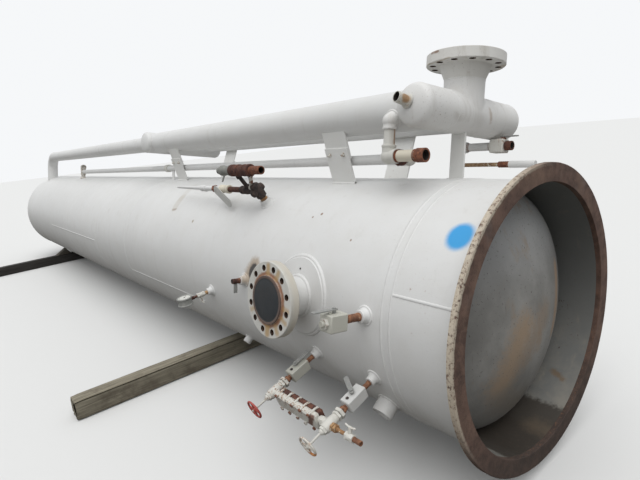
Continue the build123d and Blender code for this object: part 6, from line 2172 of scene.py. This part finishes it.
@dataclass
class ReliefAssembly:
    """Iron tee body on the shell, two legs to the valve above it and the long branch along the vessel."""

    palette: Palette
    place: tuple[float, float] = (1.735, 44.0)
    branch_at: float = 0.118
    valve_at: float = 0.297
    port_reach: float = 0.200
    legs: tuple[tuple[float, float], ...] = ((0.100, 0.100), (0.075, -0.095))

    def body(self) -> None:
        """Make the tee body with its port and the two legs."""
        form = Form()
        form.hexagon(stand_at(self.place, 0.062), 0.062, 0.026)
        form.lathe(stand_at(self.place, 0.086), [(0.034, 0), (0.038, 0.004), (0.038, 0.012), (0.033, 0.018),
                                                 (0.036, 0.034), (0.036, 0.068), (0.030, 0.082), (0.018, 0.090)], 40)
        port = stand_at(self.place, self.branch_at, BACK)
        form.lathe(port, [(0.028, 0), (0.028, 0.120), (0.030, 0.124), (0.030, 0.140), (0.026, 0.146),
                          (0.026, 0.176), (0.030, 0.180), (0.030, 0.198), (0.028, 0.200)], 36)
        lobes = stand_at(self.place, 0.122).facing(turned(outward(self.place[1] + 90)), turned(ALONG))
        form.lathe(lobes.offset(-0.055), [(0.016, 0), (0.024, 0.004), (0.027, 0.014), (0.027, 0.096),
                                          (0.024, 0.106), (0.016, 0.110)], 36)
        run = stand_at(self.place, self.valve_at, BACK)
        for coat, (foot, head) in zip((0, 1), self.legs):
            start = port.offset(foot).origin
            leg = aimed(start, run.offset(head).origin - start, turned(NEAR))
            length = (run.offset(head).origin - start).length
            form.coat = coat
            form.rod(leg.offset(0.020), 0.014, length - 0.020, 0.001, 28)
            form.hexagon(leg.offset(0.030), 0.038, 0.014)
            form.hexagon(leg.offset(length - 0.062), 0.040, 0.020)
        form.coat = 2
        dab = leg.offset(length - 0.075).facing(turned(outward(self.place[1] + 60)), turned(ALONG))
        form.rod(dab.offset(0.010), 0.008, 0.0062, 0.001, 20)
        put("relief_tee", form.mesh_data("relief_tee"),
            [self.palette(IRON_RUST), self.palette(FLAKED_RUST), self.palette(SPRAY_DAB)], Slot.VALVE,
            ("relief_body",))

    def valve(self) -> None:
        """Make the valve: open mouth, ringed body, bonnet, cap and pin."""
        form = Form()
        run = stand_at(self.place, self.valve_at, BACK)
        form.lathe(run.offset(-0.110), [(0.036, 0), (0.041, 0.005), (0.041, 0.026), (0.034, 0.032), (0.034, 0.058),
                                        (0.040, 0.064), (0.040, 0.082), (0.035, 0.088), (0.035, 0.128),
                                        (0.041, 0.134), (0.041, 0.156), (0.035, 0.162), (0.035, 0.196),
                                        (0.041, 0.202), (0.041, 0.236), (0.037, 0.240)], 44)
        form.coat = 1
        form.inside = 3
        form.socket(run.facing(-run.z, run.x).offset(0.106), 0.027, 0.020, 0.124, 0.060, 36)
        form.coat = 2
        form.lathe(run.offset(0.128), [(0.032, 0), (0.036, 0.004), (0.036, 0.030), (0.031, 0.038), (0.032, 0.100),
                                       (0.036, 0.106), (0.036, 0.136), (0.032, 0.142)], 40)
        form.hexagon(run.offset(0.268), 0.046, 0.018)
        form.lathe(run.offset(0.284), [(0.022, 0), (0.026, 0.004), (0.025, 0.026), (0.014, 0.0355)], 28)
        pin = run.offset(0.222)
        form.rod(pin.facing(turned(outward(self.place[1] + 120)), pin.z).offset(0.026), 0.006, 0.055, 0.001, 16)
        put("relief_valve_body", form.mesh_data("relief_valve_body"),
            [self.palette(DARK_RUST), self.palette(JOINT_RUST), self.palette(BONNET_GREY), self.palette(BORE_SHADE_BLACK)],
            Slot.VALVE, ("relief_valve",))

    def branch(self) -> None:
        """Make the branch: nipple, coupling, nipple, joint, lever plate and the tapered rod."""
        run = stand_at(self.place, self.branch_at, BACK).offset(self.port_reach)
        form = Form()
        form.coat = 1
        form.rod(run.offset(-0.006), 0.020, 0.192, 0.001, 32)
        form.threads(run.offset(0.004), 0.0212, 0.014, 0.003)
        form.threads(run.offset(0.162), 0.0212, 0.014, 0.003)
        form.coat = 4
        form.lathe(run.offset(0.180), [(0.029, 0), (0.032, 0.003), (0.032, 0.020), (0.0295, 0.024), (0.0295, 0.096),
                                       (0.032, 0.100), (0.032, 0.117), (0.029, 0.120)], 40)
        form.coat = 0
        form.rod(run.offset(0.294), 0.020, 0.257, 0.001, 32)
        form.coat = 2
        form.threads(run.offset(0.304), 0.0214, 0.014, 0.003)
        form.hexagon(run.offset(0.392), 0.048, 0.030)
        form.coat = 0
        form.lathe(run.offset(0.545), [(0.024, 0), (0.027, 0.004), (0.027, 0.034), (0.023, 0.040), (0.023, 0.048),
                                       (0.026, 0.054), (0.026, 0.080), (0.022, 0.085)], 36)
        form.lathe(run.offset(0.628), [(0.016 - 0.005 * i / 8, 0.462 * i / 8) for i in range(9)], 28)
        form.coat = 3
        hung = aimed(run.offset(0.335).origin, Vector((0, -1, 0)), Vector((0.882, 0, -0.471)))
        lever_plate(form, hung.offset(0.020), 0, 0.262, 0.012, 0.026, 0.060)
        put("relief_branch_pipe", form.mesh_data("relief_branch_pipe"),
            [self.palette(PIPE_PAINT), self.palette(DARK_RUST), self.palette(JOINT_RUST),
             self.palette(PLATE_GREY), self.palette(NIPPLE_CREAM)], Slot.FITTING, ("relief_branch",))

    def build(self) -> None:
        """Make every piece."""
        self.body()
        self.valve()
        self.branch()


@dataclass
class Bypass:
    """The far side's drop from the small pipe, its tee and valve."""

    palette: Palette
    station: float = 0.735
    side: float = 0.285
    top: float = 1.037
    up: float = 0.886
    pipe: float = 0.024
    reach: float = 0.215
    leg: float = 0.106
    thin: float = 0.265

    def build(self, levers: Form) -> None:
        """Make the drop and the valve, and hand its lever over."""
        form = Form()
        foot = face_at(self.station, self.side, self.up, UP)
        form.rod(foot, self.pipe, self.top - 0.045 - self.up, 0.001, 32)
        form.lathe(foot.offset(self.top - self.up - 0.085), [(self.pipe, 0), (0.036, 0.014), (0.042, 0.034)], 36)
        wide = 0.033
        form.lathe(foot.offset(-0.034), [(wide - 0.002, 0), (wide, 0.002), (wide, 0.010), (wide - 0.003, 0.012),
                                         (wide - 0.003, 0.056), (wide, 0.058), (wide, 0.066),
                                         (wide - 0.002, 0.068)], 36)
        run = face_at(self.station, self.side, self.up, ALONG, UP)
        form.lathe(run, [(wide - 0.003, 0), (wide - 0.003, 0.034), (wide, 0.036), (wide, 0.046), (wide - 0.002, 0.048)], 36)
        form.rod(run.offset(0.044), self.pipe, self.reach - 0.044, 0.001, 32)
        form.coat = 1
        form.threads(run.offset(0.052), self.pipe + 0.001, 0.016)
        form.threads(run.offset(self.reach - 0.018), self.pipe + 0.001, 0.016)
        low = run.offset(0, -self.leg)
        form.hexagon(foot.offset(-self.leg - 0.012), 0.040, 0.030)
        form.coat = 0
        form.rod(foot.offset(-self.leg), 0.017, self.leg - 0.020, 0.001, 28)
        form.threads(low.offset(self.thin + 0.066), 0.0205, 0.152, 0.012, 24)
        form.coat = 2
        form.rod(low, 0.012, self.thin + 0.004, 0.001, 24)
        form.coat = 1
        form.threads(low.offset(self.thin), 0.0185, 0.068, 0.010, 24)
        put("far_drop", form.mesh_data("far_drop"), [self.palette(PIPE_PAINT), self.palette(JOINT_RUST), self.palette(TUBE_TAN)],
            Slot.PIPE, ("bypass_drop",))
        valve = Form()
        start = run.offset(self.reach)
        valve.bar(start, 0.078, 0.078, 0.084, 0.005)
        valve.hexagon(start.offset(-0.012), 0.056, 0.013)
        valve.coat = 1
        valve.inside = 2
        valve.socket(start.offset(0.083), 0.027, 0.019, 0.041, 0.024, 32)
        valve.coat = 3
        valve.hexagon(start.offset(0.066).facing(turned(UP), start.z).offset(0.037), 0.032, 0.010)
        put("far_valve", valve.mesh_data("far_valve"), [self.palette(FITTING_PAINT), self.palette(DARK_RUST), self.palette(BORE_SHADE_BLACK),
                                                          self.palette(JOINT_RUST)], Slot.FITTING, ("bypass_valve",))
        pivot = start.offset(0.066)
        lever_plate(levers, pivot.facing(turned(UP), pivot.z).offset(0.039), 0, 0.110, 0.012)


@dataclass
class Timbers:
    """Two weathered baulks and the wedges on the far one."""

    palette: Palette
    near: float = 2.630
    far: float = 8.715
    half: float = 1.680
    size: float = TIMBER
    wedge: tuple[tuple[float, float], ...] = ((0.540, 0.0), (0.375, 0.105), (0.300, 0.0))

    def baulk(self, form: Form, station: float, seed: int) -> None:
        """Add one baulk, worn at its edges and ends."""
        chance = Random(seed)
        half = self.size / 2
        steps, per_side = 60, 8
        outline = []
        for side in range(4):
            for i in range(per_side):
                t = (i + 0.5) / per_side * 2 - 1
                round_off = 0.010 * max(abs(t) - 0.80, 0) / 0.2
                x, y = t * half, half - round_off
                for _ in range(side):
                    x, y = -y, x
                outline.append((x, y))
        count = len(outline)
        groove = [chance.random() ** 3 * 0.004 for _ in range(count)]
        drift = [0.0] * count
        rings = []
        for i in range(steps + 1):
            y = -self.half + 2 * self.half * i / steps
            end = i in (0, steps)
            ring = []
            for k, (a, b) in enumerate(outline):
                drift[k] = min(max(drift[k] + chance.uniform(-0.0008, 0.0008), 0.0), 0.003)
                sink = groove[k] + drift[k] + (0.004 if end else 0.0)
                reach = sqrt(a * a + b * b)
                a, b = a * (1 - sink / reach), b * (1 - sink / reach)
                low = max(half + b, 0.0)
                shift = (chance.random() * 0.010 if end else 0.0) * (1 if i else -1)
                ring.append(Vector((FACE_X - station + a, y - shift, low)))
            rings.append(ring)
        form.skin(rings)

    def build(self) -> None:
        """Make the baulks and the wedges."""
        for name, station, finish, seed in (("near_baulk", self.near, NEAR_WOOD, 11),
                                            ("far_baulk", self.far, FAR_WOOD, 12)):
            form = Form()
            self.baulk(form, station, seed)
            put(name, form.mesh_data(name), [self.palette(finish)], Slot.TIMBER,
                ("timbers",) if name == "near_baulk" else ())
        wedges = Form()
        for sign in (-1, 1):
            outline = [(sign * s, self.size + h) for s, h in self.wedge]
            rings = []
            for x in (-0.070, -0.067, 0.067, 0.070):
                mid = (sum(p[0] for p in outline) / 3, sum(p[1] for p in outline) / 3)
                pull = 0.97 if abs(x) == 0.070 else 1.0
                rings.append([Vector((FACE_X - self.far + x, mid[0] + (s - mid[0]) * pull,
                                      mid[1] + (h - mid[1]) * pull)) for s, h in outline])
            wedges.skin(rings)
        put("wedge_chocks", wedges.mesh_data("wedge_chocks"), [self.palette(CHOCK_WOOD)], Slot.TIMBER, ("chocks",))


@dataclass
class Studio:
    """Pale floor and backdrop, soft light and the camera."""

    place: tuple[float, float, float] = (6.0945, -2.188, 1.836)
    right: tuple[float, float, float] = (0.6400, 0.7617, -0.1003)
    up: tuple[float, float, float] = (-0.1030, 0.2140, 0.9713)
    lens: float = 27.05
    floor: float = 60.0
    sky: float = 0.71
    sun: float = 1.75
    sun_from: tuple[float, float, float] = (0.30, -0.28, 1.0)
    sun_size: float = 60.0

    def camera(self) -> None:
        """Set the camera where the photograph was taken."""
        data = bpy.data.cameras.new("camera")
        data.lens = self.lens
        data.sensor_width = 36.0
        data.clip_end = 200.0
        made = bpy.data.objects.new("camera", data)
        bpy.context.scene.collection.objects.link(made)
        right = Vector(self.right).normalized()
        up = (Vector(self.up) - right * Vector(self.up).dot(right)).normalized()
        turn = Matrix((right, up, right.cross(up))).transposed().to_4x4()
        made.matrix_world = Matrix.Translation(self.place) @ turn
        bpy.context.scene.camera = made

    def ground(self) -> None:
        """Lay the floor; it looks white to the camera and stays dull to the object."""
        mesh = bpy.data.meshes.new("floor")
        h = self.floor
        mesh.from_pydata([(-h, -h, 0), (h, -h, 0), (h, h, 0), (-h, h, 0)], [], [(0, 1, 2, 3)])
        floor = bpy.data.objects.new("floor", mesh)
        bpy.context.scene.collection.objects.link(floor)
        material = bpy.data.materials.new("floor")
        material.use_nodes = True
        bench = Bench(material.node_tree)
        shader = material.node_tree.nodes["Principled BSDF"]
        shader.inputs["Roughness"].default_value = 0.9
        shader.inputs["Specular IOR Level"].default_value = 0.0
        seen = bench.out("ShaderNodeLightPath", socket="Is Camera Ray")
        tone = bench.out("ShaderNodeMix", {"data_type": "RGBA"},
                         {"Factor_Float": seen, "A_Color": (0.155, 0.15, 0.14, 1), "B_Color": (0.70, 0.70, 0.69, 1)},
                         "Result_Color")
        material.node_tree.links.new(tone.socket, shader.inputs["Base Color"])
        mesh.materials.append(material)

    def light(self) -> None:
        """Set the world and the soft lamp overhead."""
        world = bpy.data.worlds.new("studio")
        bpy.context.scene.world = world
        world.use_nodes = True
        bench = Bench(world.node_tree)
        path = bench.add("ShaderNodeLightPath")
        seen = Signal(bench, path.outputs["Is Camera Ray"])
        glossy = Signal(bench, path.outputs["Is Glossy Ray"])
        lit = self.sky + seen * (0.95 - self.sky) + glossy * (0.78 - self.sky)
        back = world.node_tree.nodes["Background"]
        back.inputs["Color"].default_value = (0.97, 0.985, 1.0, 1.0)
        world.node_tree.links.new(lit.socket, back.inputs["Strength"])
        data = bpy.data.lights.new("overhead", "SUN")
        data.energy = self.sun
        data.angle = radians(self.sun_size)
        lamp = bpy.data.objects.new("overhead", data)
        lamp.rotation_euler = Vector(self.sun_from).to_track_quat("Z", "Y").to_euler()
        bpy.context.scene.collection.objects.link(lamp)

    def build(self) -> None:
        """Set the stage."""
        bpy.context.scene.view_settings.view_transform = "Standard"
        self.camera()
        self.ground()
        self.light()


def main() -> None:
    """Build the contactor in its studio."""
    logging.basicConfig(level=logging.INFO, format="%(message)s")
    Studio().build()
    palette = Palette()
    beads, studs, wheels = BeadTree(), StudTree(), WheelTree()
    for part in (Vessel(palette, beads), InletNozzle(palette, beads), Exchanger(palette, beads),
                 Posts(palette, studs, beads), GlycolLine(palette, beads), ShellFittings(palette, beads),
                 PressureGauge(palette), ReliefAssembly(palette), Timbers(palette)):
        part.build()
        LOG.info("built: %s", type(part).__name__)
    gauge = LevelGauge(palette, wheels, studs)
    gauge.build()
    SideValve(palette).build(gauge.levers)
    Bypass(palette).build(gauge.levers)
    put("lever_set", gauge.levers.mesh_data("lever_set"), [palette(LEVER_GREY)], Slot.FITTING, ("valve_levers",))


if __name__ == "__main__":
    main()
